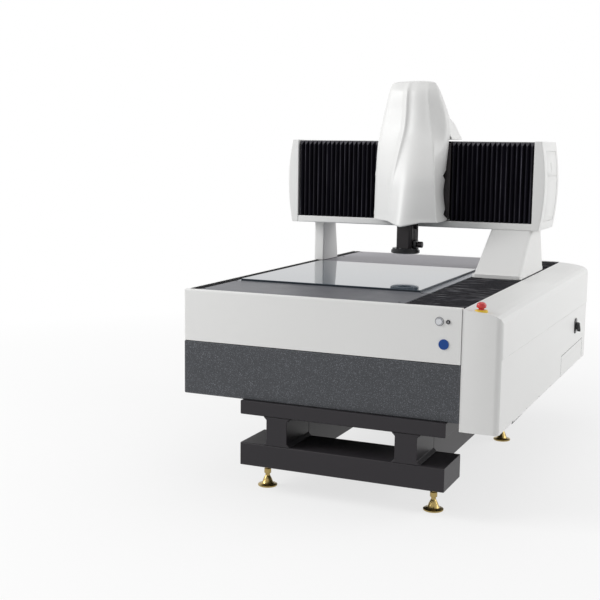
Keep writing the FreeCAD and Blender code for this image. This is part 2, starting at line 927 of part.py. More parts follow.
def main_switch_plate():
    """Plate of the main switch, with its square body behind it."""
    half_w = switch_plate_width / 2
    half_h = switch_plate_height / 2
    face = switch_face()
    plate = chamfered_block(face, face + switch_plate_thick, switch_y - half_w,
                            switch_y + half_w, switch_z - half_h, switch_z + half_h,
                            switch_plate_corner, x_axis)
    body = block(face - switch_body_depth, face + 1, switch_y - switch_body_half,
                 switch_y + switch_body_half, switch_z - switch_body_half,
                 switch_z + switch_body_half)
    return joined([plate, body])


def main_switch_handle():
    """Rotary knob with one long lever."""
    start = switch_face() + switch_plate_thick + slide_gap
    knob = cylinder(switch_knob_radius, switch_knob_depth, Vec(start, switch_y, switch_z), x_axis)
    half = switch_lever_width / 2
    lever = block(start + switch_lever_sink, start + switch_knob_depth + switch_lever_proud,
                  switch_y - half, switch_y + half, switch_z - switch_lever_length,
                  switch_z + switch_knob_radius * 0.8)
    handle = joined([knob, lever])
    handle.rotate(Vec(start, switch_y, switch_z), x_axis, switch_rest_turn)
    return handle


def power_inlet():
    """Mains inlet on the rear cover: flange, shroud and three blades."""
    face = body_length
    half_w, half_h = inlet_body_halves()
    flange = block(inlet_x - inlet_width / 2, inlet_x + inlet_width / 2, face, face + inlet_wall,
                   inlet_z - inlet_height / 2, inlet_z + inlet_height / 2)
    body = block(inlet_x - half_w, inlet_x + half_w, face - inlet_depth, face + 1,
                 inlet_z - half_h, inlet_z + half_h)
    well = block(inlet_x - half_w + inlet_wall, inlet_x + half_w - inlet_wall,
                 face - inlet_depth + 2 * inlet_wall, face + inlet_wall + 1,
                 inlet_z - half_h + inlet_wall, inlet_z + half_h - inlet_wall)
    shell = joined([flange, body]).cut(well)
    blades = []
    for offset_x, offset_z in ((-8, -3), (0, 4), (8, -3)):
        blades.append(block(inlet_x + offset_x - 1, inlet_x + offset_x + 1,
                            face - inlet_depth + 2 * inlet_wall - 1, face - 4,
                            inlet_z + offset_z - 2.5, inlet_z + offset_z + 2.5))
    return joined([shell] + blades)


def right_leg():
    """Cast right leg: a foot flange and a body that leans back to the beam."""
    flange_top = deck_level + leg_flange_height
    flange = rounded_block(leg_right_left - leg_flange, leg_right_right,
                           leg_right_front - leg_flange, leg_right_rear + leg_flange,
                           deck_level + bridge_lift, flange_top, leg_corner, z_axis)
    low = rectangle(leg_right_left, leg_right_right, leg_right_front, leg_right_rear,
                    flange_top - shell_lap)
    high = rectangle(leg_right_top_left, leg_right_right, leg_right_top_front,
                     leg_right_top_front + leg_right_top_length, beam_bottom)
    return joined([flange, leaning_block(low, high, leg_corner)])


def right_shoe():
    """Bridge under the right leg, resting on its rail blocks, with the motor coil below."""
    left = right_rail_inner - block_width / 2
    right = right_rail_outer + block_width / 2
    front = leg_right_front + 10
    back = leg_right_rear - 10
    base = block(left, right, front, back, block_top, block_top + 60)
    stem = block(left + 30, right - 30, front + 20, back - 20, block_top + 59,
                 deck_level + bridge_lift)
    middle = (right_rail_inner + right_rail_outer) / 2
    coil_bottom = granite_top + motor_track_height + magnet_height + motor_gap
    coil = block(middle - motor_track_width * 0.4, middle + motor_track_width * 0.4,
                 front + 120, back - 120, coil_bottom, block_top + 1)
    return joined([base, stem, coil])


def left_leg():
    """Left leg over the slot, tapered towards the beam."""
    rear = left_leg_front + left_leg_length
    low = rectangle(left_leg_edge, left_leg_width, left_leg_front, rear, deck_level + bridge_lift)
    high = rectangle(left_leg_edge, left_leg_width, rear - left_leg_lean - left_leg_top_length,
                     rear - left_leg_lean, beam_bottom)
    return leaning_block(low, high, left_leg_corner)


def left_shoe():
    """Blade that passes through the left slot down to its rail blocks."""
    right = blade_left + blade_thick
    arm_front = lens_y - backlight_depth / 2 - 20
    back = left_leg_front + left_leg_length - 10
    side_view = [
        (arm_front, block_top),
        (back, block_top),
        (back, deck_level + bridge_lift),
        (left_leg_front + 10, deck_level + bridge_lift),
        (left_leg_front + 10, backlight_bottom + backlight_height + 20),
        (arm_front, backlight_bottom + backlight_height + 20),
    ]
    return prism([Vec(blade_left, y, z) for y, z in side_view], Vec(right - blade_left, 0, 0))


def y_rail_blocks():
    """Six rail blocks: two on each rail."""
    blocks = []
    right_ends = (leg_right_front + 20, leg_right_rear - 20 - block_length)
    left_ends = (lens_y - backlight_depth / 2,
                 left_leg_front + left_leg_length - 20 - block_length)
    for x, ends in ((right_rail_inner, right_ends), (right_rail_outer, right_ends),
                    (left_rail, left_ends)):
        for y in ends:
            blocks.append(placed(rail_block(), Vec(x, y, granite_top), y_axis, z_axis))
    return blocks


def backlight_bar():
    """Channel under the glass that carries the transmitted light along with the head."""
    left = blade_left + blade_thick
    right = right_rail_inner - block_width / 2 + 30
    front = lens_y - backlight_depth / 2
    back = lens_y + backlight_depth / 2
    top = backlight_bottom + backlight_height
    bar = block(left, right, front, back, backlight_bottom, top)
    channel = block(riser_left + 20, riser_right - 20, front + 8, back - 8, top - 16, top + 1)
    return bar.cut(channel)


def beam_bottom_plate():
    """Ledge plate under the beam that both legs carry."""
    return chamfered_block(beam_left, beam_right, beam_front, beam_rear, beam_bottom,
                           beam_bottom + beam_plate_height, beam_edge, x_axis)


def cross_beam():
    """Ribbed box beam behind the bellows, with lightening pockets at the back."""
    bottom = beam_bottom + beam_plate_height
    back = core_front + core_depth
    core = block(beam_left + 1, beam_right - 1, core_front, back, bottom, core_top)
    width = (beam_right - beam_left - core_rib) / core_pocket_count
    for i in range(core_pocket_count):
        left = beam_left + core_rib + i * width
        core = core.cut(block(left, left + width - core_rib, back - core_pocket_depth, back + 1,
                              bottom + core_rib, core_top - core_rib))
    return core


def beam_cover():
    """Folded cover over the top and back of the beam."""
    bottom = beam_bottom + beam_plate_height + slide_gap
    outer = rounded_block(beam_left, beam_right, beam_cover_front, beam_rear, bottom,
                          beam_top, beam_cover_radius, x_axis,
                          lambda middle: middle.y > beam_rear - 1 and middle.z > beam_top - 1)
    inner = rounded_block(beam_left - 1, beam_right + 1, beam_cover_front - 40,
                          beam_rear - sheet_wall, bottom - 40, beam_top - sheet_wall,
                          beam_cover_radius - sheet_wall, x_axis,
                          lambda middle: middle.y > beam_rear - sheet_wall - 1
                          and middle.z > beam_top - sheet_wall - 1)
    return outer.cut(inner)


def cap_form(shift):
    """Right end cap as a full form with a bowed outer side, shifted inwards by shift."""
    inner = beam_right + slide_gap
    outer = beam_right + end_cap_width - shift
    middle_z = (beam_bottom + beam_top) / 2
    top = beam_top + 2
    bottom = beam_bottom
    front = beam_front - 2
    bow = Part.Arc(Vec(outer, front, bottom), Vec(outer + end_cap_bulge, front, middle_z),
                   Vec(outer, front, top)).toShape()
    rest = Part.makePolygon([Vec(outer, front, top), Vec(inner, front, top),
                             Vec(inner, front, bottom), Vec(outer, front, bottom)])
    face = Part.Face(Part.Wire([bow] + rest.Edges))
    return outward(face.extrude(Vec(0, beam_depth + 4, 0)))


def end_cap_parts():
    """Right end cap with its window, and the two panels that sit in the window."""
    cap = cap_form(0)
    rims = [edge for edge in cap.Edges
            if abs(edge.CenterOfMass.y - (beam_front - 2)) < 0.1
            and edge.CenterOfMass.x > beam_right + end_cap_width - 1]
    rims += [edge for edge in cap.Edges
             if abs(edge.CenterOfMass.y - (beam_rear + 2)) < 0.1
             and edge.CenterOfMass.x > beam_right + end_cap_width - 1]
    cap = cap.makeChamfer(end_cap_chamfer, rims)
    back = cap_window_front + cap_window_length
    far = beam_right + end_cap_width + end_cap_bulge + 5
    window = block(beam_right, far, cap_window_front, back, cap_window_bottom, cap_window_top)
    floor = cap_form(cap_window_depth)
    cap = cap.cut(window.cut(floor))
    skin = cap_form(cap_panel_sunk).cut(floor)
    gap = service_panel_gap
    panels = []
    for low, high in ((cap_window_bottom, cap_window_split), (cap_window_split, cap_window_top)):
        zone = block(beam_right, far, cap_window_front + gap, back - gap, low + gap, high - gap)
        panels.append(skin.common(zone))
    slot_y = cap_window_front + cap_grip_inset
    slot = block(beam_right, far, slot_y - cap_grip_width / 2, slot_y + cap_grip_width / 2,
                 cap_window_split + cap_grip_lift,
                 cap_window_split + cap_grip_lift + cap_grip_height)
    panels[1] = panels[1].cut(slot)
    return cap, panels


def mirrored_to_left(shape):
    """Mirror a right-hand end piece to the left end of the beam."""
    middle = (beam_left + beam_right) / 2
    return shape.mirror(Vec(middle, 0, 0), x_axis)


def x_rails():
    """Two rails on the front of the cross beam."""
    length = beam_right - beam_left - 20
    rails = []
    for z in (x_rail_low, x_rail_high):
        rails.append(placed(rail(length), Vec(beam_left + 10, core_front, z), x_axis, -y_axis))
    return rails


def x_motor_track():
    """Magnet track between the rails of the beam."""
    length = beam_right - beam_left - 20
    height = (x_rail_low + x_rail_high) / 2
    return placed(motor_track(length), Vec(beam_left + 10, core_front, height), x_axis, -y_axis)


def x_bellows(left, right):
    """Upright bellows across the front of the beam."""
    bottom = beam_bottom + beam_plate_height + slide_gap
    points = []
    for s, d in fold_outline(right - left, fold_pitch_x, fold_depth_x):
        points.append(Vec(left + s, carriage_front + 1 - d, bottom))
    return prism(points, Vec(0, 0, beam_top - 4 - bottom))


def x_bellows_left():
    """Bellows from the left end cap to the head."""
    return x_bellows(beam_left + bellows_gap, head_centre - carriage_half_width - bellows_gap)


def x_bellows_right():
    """Bellows from the head to the right end cap."""
    return x_bellows(head_centre + carriage_half_width + bellows_gap, beam_right - bellows_gap)


def carriage_plate():
    """Machined plate of the head, with the coil of its motor behind it."""
    back = carriage_front + carriage_thick
    plate = block(head_centre - carriage_half_width, head_centre + carriage_half_width,
                  carriage_front, back, carriage_bottom, carriage_bottom + carriage_height)
    height = (x_rail_low + x_rail_high) / 2
    coil_back = core_front - motor_track_height - magnet_height - motor_gap
    coil = block(head_centre - 120, head_centre + 120, back - 1, coil_back,
                 height - motor_track_width * 0.4, height + motor_track_width * 0.4)
    return joined([plate, coil])


def x_rail_blocks():
    """Four rail blocks behind the carriage plate."""
    blocks = []
    for z in (x_rail_low, x_rail_high):
        for x in (head_centre - carriage_half_width + 10,
                  head_centre + carriage_half_width - 10 - block_length):
            blocks.append(placed(rail_block(), Vec(x, core_front, z), x_axis, -y_axis))
    return blocks


def head_outline(level, inset):
    """Outline of the head cover at one of its levels, offset inwards by inset."""
    height = head_heights[level]
    side = head_side_halves[level] - inset
    side_y = head_side_fronts[level] + inset
    ridge = head_ridge_halves[level] - inset
    ridge_y = head_ridge_fronts[level] + inset * 1.2
    crest = head_ridge_crests[level]
    nose_y = head_nose_fronts[level] + inset * 1.6
    hooded = level >= len(head_heights) - head_hood_levels
    back = head_hood_rear - inset if hooded else head_back + (shell_lap if inset else 0)
    if inset:
        height += head_wall if level == len(head_heights) - head_hood_levels else 0
        height -= head_wall if level == len(head_heights) - 1 else 0
    half = [
        (head_hood_halves[level] - inset, back),
        (side, side_y),
        (ridge + ridge_outer_step, ridge_y + ridge_outer_sink),
        (ridge, ridge_y - crest),
        (ridge - ridge_inner_step, ridge_y - ridge_inner_sink + crest * 0.4),
    ]
    right = [Vec(head_centre + x, y, height) for x, y in half]
    left = [Vec(head_centre - x, y, height) for x, y in reversed(half)]
    return right + [Vec(head_centre, nose_y, height)] + left


def head_form(inset):
    """Head cover as a full form with flat facets and a low pointed crown."""
    outlines = [head_outline(level, inset) for level in range(len(head_heights))]
    crown_y = (head_nose_fronts[-1] + head_hood_rear) / 2
    crown = Vec(head_centre, crown_y, outlines[-1][0].z + head_crown_rise)
    return faceted(outlines, crown)


def head_cover():
    """Faceted shell of the head, open below and behind, with a keeled lower rim."""
    shell = head_form(0).cut(head_form(head_wall))
    wide = head_side_halves[0] + 60
    below_rim = head_rim_front - 70
    keel = [
        (head_centre - wide, head_rim_back),
        (head_centre - head_keel_half, head_rim_side),
        (head_centre, head_rim_front),
        (head_centre + head_keel_half, head_rim_side),
        (head_centre + wide, head_rim_back),
        (head_centre + wide, below_rim),
        (head_centre - wide, below_rim),
    ]
    front = head_nose_fronts[0] - 50
    below = prism([Vec(x, front, z) for x, z in keel], Vec(0, head_back + 50 - front, 0))
    shell = shell.cut(below)
    widest = max(head_side_halves)
    reach = head_notch_half + 1
    for z in (head_rim_back + head_notch_lift, (head_rim_back + beam_top) / 2 + 2):
        for side in (-1, 1):
            edge = head_centre + side * (widest + 9)
            tip = head_centre + side * (head_side_halves[0] - head_notch_depth)
            notch = prism([Vec(edge, head_back - reach, z - head_notch_half),
                           Vec(tip, head_back - reach, z),
                           Vec(edge, head_back - reach, z + head_notch_half)],
                          Vec(0, reach + 10, 0))
            shell = shell.cut(notch)
    return shell


def saddle_cover():
    """Roofed cover behind the head, over the top of the beam."""
    bottom = beam_top + saddle_clearance
    front = head_back + slide_gap

    def roof(inset, low):
        half = [(saddle_half_width - inset, low), (saddle_half_width - inset - 2, bottom + saddle_skirt),
                (saddle_shoulder_half - inset, saddle_shoulder_level - inset),
                (saddle_ridge_half - inset, saddle_ridge_level - inset)]
        right = [(head_centre + x, z) for x, z in half]
        left = [(head_centre - x, z) for x, z in reversed(half)]
        return right + left

    outer = prism([Vec(x, front, z) for x, z in roof(0, bottom)],
                  Vec(0, saddle_rear - front, 0))
    inner = prism([Vec(x, front - 1, z) for x, z in roof(saddle_wall, bottom - 1)],
                  Vec(0, saddle_rear - front + 1 - saddle_wall, 0))
    return outer.cut(inner)


def z_rails():
    """Two upright rails on the front of the carriage plate."""
    rails = []
    for side in (-1, 1):
        x = head_centre + side * z_rail_spacing / 2
        rails.append(placed(rail(z_rail_length), Vec(x, carriage_front, z_rail_bottom),
                            z_axis, -y_axis))
    return rails


def z_motor():
    """Motor of the upright axis on its bracket, with the screw below it."""
    bottom = z_rail_bottom + z_rail_length + 2
    half = motor_size / 2
    left = head_centre - half - motor_plate_margin
    right = head_centre + half + motor_plate_margin
    motor_y = carriage_front - half - 2
    back = beam_cover_front - 2
    bracket = block(left, right, carriage_front - motor_size - 8, back, bottom,
                    bottom + motor_plate)
    web = block(left, right, carriage_front, back, carriage_bottom + carriage_height,
                bottom + motor_plate)
    motor = block(head_centre - half, head_centre + half, motor_y - half, motor_y + half,
                  bottom + motor_plate - shell_lap, bottom + motor_plate + motor_height)
    screw = cylinder(screw_radius, z_rail_length + 2, Vec(head_centre, screw_line(), z_rail_bottom),
                     z_axis)
    return joined([bracket, web, motor, screw])


def screw_line():
    """Distance in Y of the screw's axis, between the upright rails."""
    return carriage_front - block_lift + screw_offset


def z_plate():
    """Moving plate with four rail blocks and the nut of the screw."""
    back = carriage_front - block_lift
    top = z_plate_bottom + z_plate_height
    plate = block(head_centre - z_plate_half_width, head_centre + z_plate_half_width,
                  back - z_plate_thick, back, z_plate_bottom, top)
    pieces = [plate]
    for side in (-1, 1):
        x = head_centre + side * z_rail_spacing / 2
        for z in (z_plate_bottom + z_block_inset, top - z_block_inset - block_length):
            pieces.append(placed(rail_block(), Vec(x, carriage_front, z), z_axis, -y_axis))
    nut_bottom = z_plate_bottom + z_nut_lift
    pieces.append(block(head_centre - z_nut_half_width, head_centre + z_nut_half_width,
                        back - shell_lap, screw_line() + z_nut_reach, nut_bottom,
                        nut_bottom + z_nut_height))
    passage = cylinder(screw_radius + nut_clearance, z_plate_height + 2,
                       Vec(head_centre, screw_line(), z_plate_bottom - 1), z_axis)
    return joined(pieces).cut(passage)


def column_back():
    """Rear face of the optics column, against the moving plate."""
    return carriage_front - block_lift - z_plate_thick


def optics_column():
    """Black housing of the optics, open inside for the lens."""
    column = rounded_block(head_centre - column_half_width, head_centre + column_half_width,
                           column_front, column_back(), column_bottom,
                           column_bottom + column_height, column_corner, z_axis)
    bore = cylinder(lens_radius + lens_bore_gap, column_height + 2,
                    Vec(head_centre, lens_y, column_bottom - 1), z_axis)
    return column.cut(bore)


def zoom_lens():
    """Zoom lens tube in the column, up to the camera."""
    bottom = column_bottom + lens_recess
    return cylinder(lens_radius, lens_top + camera_joint - bottom,
                    Vec(head_centre, lens_y, bottom), z_axis)


def camera_body():
    """Square camera on top of the lens, with two cooling grooves around it."""
    half = camera_size / 2
    base = lens_top + camera_joint
    body = block(head_centre - half, head_centre + half, lens_y - half, lens_y + half,
                 base, base + camera_height)
    core = half - camera_groove
    for share in (0.4, 0.65):
        z = base + camera_height * share
        ring = block(head_centre - half - 1, head_centre + half + 1, lens_y - half - 1,
                     lens_y + half + 1, z, z + 2 * camera_groove)
        inside = block(head_centre - core, head_centre + core, lens_y - core, lens_y + core,
                       z - 1, z + 2 * camera_groove + 1)
        body = body.cut(ring.cut(inside))
    return body


def ring_light():
    """Ring light under the column."""
    top = column_bottom
    bottom = column_bottom - ring_height + ring_diffuser_depth
    profile = [(ring_inner_radius, bottom), (ring_radius, bottom), (ring_radius, top),
               (ring_inner_radius, top)]
    return turned(profile, Vec(head_centre, lens_y, 0), z_axis)


def ring_diffuser():
    """White diffuser on the underside of the ring light."""
    bottom = column_bottom - ring_height
    profile = [(ring_diffuser_inner, bottom), (ring_diffuser_outer, bottom),
               (ring_diffuser_outer, bottom + ring_diffuser_depth),
               (ring_diffuser_inner, bottom + ring_diffuser_depth)]
    return turned(profile, Vec(head_centre, lens_y, 0), z_axis)


def side_light():
    """Round coaxial light unit on the right of the column, and a small bracket above it."""
    face = head_centre + column_half_width
    unit = cylinder(side_light_radius, side_light_length,
                    Vec(face, lens_y + side_light_offset, side_light_z), x_axis)
    bottom = column_bottom + side_bracket_lift
    front = lens_y + side_bracket_offset
    bracket = block(face, face + side_bracket_thick, front, front + side_bracket_width, bottom,
                    bottom + side_bracket_height)
    return [unit, bracket]


def export_all(nodes):
    """Move every node to the common origin and write one file for each."""
    box = FreeCAD.BoundBox()
    for shape in nodes.values():
        box.add(shape.optimalBoundingBox(False))
    shift = Vec(-(box.XMin + box.XMax) / 2, -(box.YMin + box.YMax) / 2, -box.ZMin)
    os.makedirs("parts", exist_ok=True)
    for name, shape in nodes.items():
        shape.translate(shift)
        shape.exportStep("parts/" + name + ".step")
    print("shift", [round(value, 3) for value in shift])
    print("size", round(box.XLength, 2), round(box.YLength, 2), round(box.ZLength, 2))
    print("nodes", len(nodes))


def build_nodes():
    """Make every node under the name that a user of the part would give it."""
    side_cover, service_panel = side_cover_parts()
    cap_right, cap_panels = end_cap_parts()
    cap_left = mirrored_to_left(cap_right)
    left_panels = [mirrored_to_left(panel) for panel in cap_panels]
    return {
        "stand_lower_beams": stand_lower_beams(),
        "stand_upper_beams": stand_upper_beams(),
        "stand_uprights": stand_uprights(),
        "stand_side_girders": stand_side_girders(),
        "levelling_feet": levelling_feet(),
        "foot_lock_nuts": foot_lock_nuts(),
        "granite_base": granite_base(),
        "front_cover": front_cover(),
        "rear_cover": rear_cover(),
        "left_side_cover": left_side_cover(),
        "right_side_cover": side_cover,
        "service_panel": service_panel,
        "deck_front_plate": deck_front_plate(),
        "deck_rear_plate": deck_rear_plate(),
        "deck_side_strips": deck_side_strips(),
        "stage_risers": stage_risers(),
        "stage_side_beams": stage_side_beams(),
        "stage_glass": stage_glass(),
        "y_rails": y_rails(),
        "y_motor_track": y_motor_track(),
        "y_bellows_front": y_bellows_front(),
        "y_bellows_rear": y_bellows_rear(),
        "estop_base": estop_base(),
        "estop_button": estop_button(),
        "button_bezel": button_bezel(),
        "start_button": start_button(),
        "key_switch": key_switch(),
        "indicator_disc": indicator_disc(),
        "main_switch_plate": main_switch_plate(),
        "main_switch_handle": main_switch_handle(),
        "power_inlet": power_inlet(),
        "right_leg": right_leg(),
        "right_shoe": right_shoe(),
        "left_leg": left_leg(),
        "left_shoe": left_shoe(),
        "y_rail_blocks": y_rail_blocks(),
        "backlight_bar": backlight_bar(),
        "beam_bottom_plate": beam_bottom_plate(),
        "cross_beam": cross_beam(),
        "beam_cover": beam_cover(),
        "end_cap_right": cap_right,
        "end_cap_left": cap_left,
        "end_cap_panels": cap_panels + left_panels,
        "x_rails": x_rails(),
        "x_motor_track": x_motor_track(),
        "x_bellows_left": x_bellows_left(),
        "x_bellows_right": x_bellows_right(),
        "carriage_plate": carriage_plate(),
        "x_rail_blocks": x_rail_blocks(),
        "head_cover": head_cover(),
        "saddle_cover": saddle_cover(),
        "z_rails": z_rails(),
        "z_motor": z_motor(),
        "z_plate": z_plate(),
        "optics_column": optics_column(),
        "zoom_lens": zoom_lens(),
        "camera_body": camera_body(),
        "ring_light": ring_light(),
        "ring_diffuser": ring_diffuser(),
        "side_light": side_light(),
    }


def as_one(made):
    """Give a node's pieces as one shape that still holds separate solids."""
    if isinstance(made, list):
        return Part.makeCompound(made)
    if len(made.Solids) == 1:
        return made.Solids[0]
    return Part.makeCompound(made.Solids)


export_all({name: as_one(made) for name, made in build_nodes().items()})
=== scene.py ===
import bpy
import bmesh
import math
from mathutils import Matrix, Vector


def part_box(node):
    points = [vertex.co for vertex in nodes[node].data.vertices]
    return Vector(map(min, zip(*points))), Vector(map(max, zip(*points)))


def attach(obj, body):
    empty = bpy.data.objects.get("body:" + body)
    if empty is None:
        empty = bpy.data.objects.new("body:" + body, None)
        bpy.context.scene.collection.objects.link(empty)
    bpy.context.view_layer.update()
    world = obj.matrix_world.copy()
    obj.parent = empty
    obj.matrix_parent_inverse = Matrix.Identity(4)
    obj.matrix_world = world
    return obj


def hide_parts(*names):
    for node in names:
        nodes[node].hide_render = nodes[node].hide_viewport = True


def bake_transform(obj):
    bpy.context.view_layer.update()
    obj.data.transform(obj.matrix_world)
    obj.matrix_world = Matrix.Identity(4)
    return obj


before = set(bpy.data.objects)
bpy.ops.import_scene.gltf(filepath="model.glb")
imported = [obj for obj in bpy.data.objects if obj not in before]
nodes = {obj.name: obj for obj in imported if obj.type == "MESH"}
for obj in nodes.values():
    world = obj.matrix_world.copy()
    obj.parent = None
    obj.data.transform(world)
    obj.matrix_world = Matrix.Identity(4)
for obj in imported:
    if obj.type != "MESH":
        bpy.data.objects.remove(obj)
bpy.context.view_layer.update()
print("machine loaded:", len(nodes), "pieces")


# Node helpers

def addNode(tree, kind, place, **inputs):
    node = tree.nodes.new(kind)
    node.location = place
    for name, value in inputs.items():
        node.inputs[name.replace("_", " ")].default_value = value
    return node


def wire(tree, source, target):
    tree.links.new(source, target)


def newGroup(name, takes, gives):
    group = bpy.data.node_groups.new(name, "ShaderNodeTree")
    for label, kind, value in takes:
        socket = group.interface.new_socket(name=label, in_out="INPUT", socket_type=kind)
        socket.default_value = value
    for label, kind in gives:
        group.interface.new_socket(name=label, in_out="OUTPUT", socket_type=kind)
    entry = group.nodes.new("NodeGroupInput")
    entry.location = (-900, 0)
    leave = group.nodes.new("NodeGroupOutput")
    leave.location = (700, 0)
    return group, entry, leave


def mathNode(tree, operation, place, first=None, second=None, clamp=False):
    node = tree.nodes.new("ShaderNodeMath")
    node.operation = operation
    node.use_clamp = clamp
    node.location = place
    for slot, value in ((0, first), (1, second)):
        if isinstance(value, (int, float)):
            node.inputs[slot].default_value = value
        elif value is not None:
            wire(tree, value, node.inputs[slot])
    return node.outputs[0]


def mixColour(tree, place, factor, first, second, blend="MIX"):
    node = tree.nodes.new("ShaderNodeMix")
    node.data_type = "RGBA"
    node.blend_type = blend
    node.location = place
    for slot, value in ((0, factor), (6, first), (7, second)):
        if isinstance(value, (int, float, tuple)):
            node.inputs[slot].default_value = value
        else:
            wire(tree, value, node.inputs[slot])
    return node.outputs[2]


def rangeNode(tree, place, value, fromLow, fromHigh, toLow, toHigh):
    node = tree.nodes.new("ShaderNodeMapRange")
    node.location = place
    wire(tree, value, node.inputs["Value"])
    node.inputs["From Min"].default_value = fromLow
    node.inputs["From Max"].default_value = fromHigh
    node.inputs["To Min"].default_value = toLow
    node.inputs["To Max"].default_value = toHigh
    return node.outputs["Result"]


# Shared surface effects

def makeCoatGroup():
    # fine orange peel of powder coat, with a slow drift of tone
    group, entry, leave = newGroup(
        "coatPeel",
        [("Colour", "NodeSocketColor", (0.8, 0.8, 0.8, 1)), ("Drift", "NodeSocketFloat", 0.03),
         ("Peel Scale", "NodeSocketFloat", 700.0), ("Roughness", "NodeSocketFloat", 0.4)],
        [("Colour", "NodeSocketColor"), ("Roughness", "NodeSocketFloat"), ("Height", "NodeSocketFloat")])
    place = addNode(group, "ShaderNodeTexCoord", (-900, -300))
    slow = addNode(group, "ShaderNodeTexNoise", (-600, 200), Scale=2.2, Detail=3.0)
    wire(group, place.outputs["Object"], slow.inputs["Vector"])
    peel = addNode(group, "ShaderNodeTexNoise", (-600, -200), Detail=2.0)
    wire(group, place.outputs["Object"], peel.inputs["Vector"])
    wire(group, entry.outputs["Peel Scale"], peel.inputs["Scale"])
    signed = mathNode(group, "SUBTRACT", (-400, 200), slow.outputs["Fac"], 0.5)
    change = mathNode(group, "MULTIPLY", (-200, 200), signed, entry.outputs["Drift"])
    gain = mathNode(group, "ADD", (0, 200), change, 1.0)
    shade = group.nodes.new("ShaderNodeCombineColor")
    shade.location = (150, 200)
    for channel in ("Red", "Green", "Blue"):
        wire(group, gain, shade.inputs[channel])
    tinted = mixColour(group, (350, 200), 1.0, entry.outputs["Colour"], shade.outputs["Color"], "MULTIPLY")
    wire(group, tinted, leave.inputs["Colour"])
    peelSigned = mathNode(group, "SUBTRACT", (-300, -100), peel.outputs["Fac"], 0.5)
    peelShare = mathNode(group, "MULTIPLY", (-100, -100), peelSigned, 0.16)
    rough = mathNode(group, "ADD", (100, -100), entry.outputs["Roughness"], peelShare, True)
    wire(group, rough, leave.inputs["Roughness"])
    wire(group, peel.outputs["Fac"], leave.inputs["Height"])
    return group


def makeEdgeGroup():
    # mask that is 1 on outer corners: worn edges on the dark parts, painted highlight along the corners of
    # the white parts
    group, entry, leave = newGroup(
        "edgeWearAndHighlight",
        [("Reach", "NodeSocketFloat", 0.003), ("Amount", "NodeSocketFloat", 0.5)],
        [("Mask", "NodeSocketFloat")])
    soft = addNode(group, "ShaderNodeBevel", (-600, 100))
    soft.samples = 4
    wire(group, entry.outputs["Reach"], soft.inputs["Radius"])
    plain = addNode(group, "ShaderNodeNewGeometry", (-600, -100))
    across = group.nodes.new("ShaderNodeVectorMath")
    across.operation = "DOT_PRODUCT"
    across.location = (-400, 0)
    wire(group, soft.outputs["Normal"], across.inputs[0])
    wire(group, plain.outputs["Normal"], across.inputs[1])
    bent = rangeNode(group, (-200, 0), across.outputs["Value"], 0.995, 0.85, 0.0, 1.0)
    place = addNode(group, "ShaderNodeTexCoord", (-600, -350))
    broken = addNode(group, "ShaderNodeTexNoise", (-400, -300), Scale=55.0, Detail=4.0)
    wire(group, place.outputs["Object"], broken.inputs["Vector"])
    patches = rangeNode(group, (-200, -300), broken.outputs["Fac"], 0.38, 0.62, 0.25, 1.0)
    # partly real wear, partly painted highlight, depending on the look that uses it
    wornAndLit = mathNode(group, "MULTIPLY", (0, 0), bent, patches)
    scaled = mathNode(group, "MULTIPLY", (200, 0), wornAndLit, entry.outputs["Amount"], True)
    wire(group, scaled, leave.inputs["Mask"])
    return group


def makeDustGroup():
    # thin dust that lies on faces that look upwards
    group, entry, leave = newGroup(
        "settledDust",
        [("Amount", "NodeSocketFloat", 0.2)],
        [("Mask", "NodeSocketFloat")])
    facing = addNode(group, "ShaderNodeNewGeometry", (-700, 100))
    parts = group.nodes.new("ShaderNodeSeparateXYZ")
    parts.location = (-500, 100)
    wire(group, facing.outputs["Normal"], parts.inputs[0])
    upward = rangeNode(group, (-300, 100), parts.outputs["Z"], 0.45, 0.95, 0.0, 1.0)
    place = addNode(group, "ShaderNodeTexCoord", (-700, -200))
    cloud = addNode(group, "ShaderNodeTexNoise", (-500, -200), Scale=9.0, Detail=6.0, Roughness=0.65)
    wire(group, place.outputs["Object"], cloud.inputs["Vector"])
    patches = rangeNode(group, (-300, -200), cloud.outputs["Fac"], 0.35, 0.7, 0.2, 1.0)
    lying = mathNode(group, "MULTIPLY", (-50, 0), upward, patches)
    scaled = mathNode(group, "MULTIPLY", (150, 0), lying, entry.outputs["Amount"], True)
    wire(group, scaled, leave.inputs["Mask"])
    return group


def makeBrushGroup():
    # long fine scratches along one direction, set by the stretch
    group, entry, leave = newGroup(
        "brushLines",
        [("Stretch", "NodeSocketVector", (4.0, 400.0, 400.0)), ("Roughness", "NodeSocketFloat", 0.3),
         ("Colour", "NodeSocketColor", (0.6, 0.6, 0.6, 1))],
        [("Colour", "NodeSocketColor"), ("Roughness", "NodeSocketFloat"), ("Height", "NodeSocketFloat")])
    place = addNode(group, "ShaderNodeTexCoord", (-900, -200))
    turn = group.nodes.new("ShaderNodeVectorMath")
    turn.operation = "MULTIPLY"
    turn.location = (-700, 0)
    wire(group, place.outputs["Object"], turn.inputs[0])
    wire(group, entry.outputs["Stretch"], turn.inputs[1])
    lines = addNode(group, "ShaderNodeTexNoise", (-500, 0), Scale=1.0, Detail=5.0, Roughness=0.7)
    wire(group, turn.outputs[0], lines.inputs["Vector"])
    signed = mathNode(group, "SUBTRACT", (-300, 0), lines.outputs["Fac"], 0.5)
    share = mathNode(group, "MULTIPLY", (-100, 0), signed, 0.3)
    rough = mathNode(group, "ADD", (100, 0), entry.outputs["Roughness"], share, True)
    wire(group, rough, leave.inputs["Roughness"])
    darker = mixColour(group, (100, 250), 1.0, entry.outputs["Colour"], (0.82, 0.82, 0.83, 1), "MULTIPLY")
    toned = mixColour(group, (350, 250), lines.outputs["Fac"], darker, entry.outputs["Colour"])
    wire(group, toned, leave.inputs["Colour"])
    wire(group, lines.outputs["Fac"], leave.inputs["Height"])
    return group


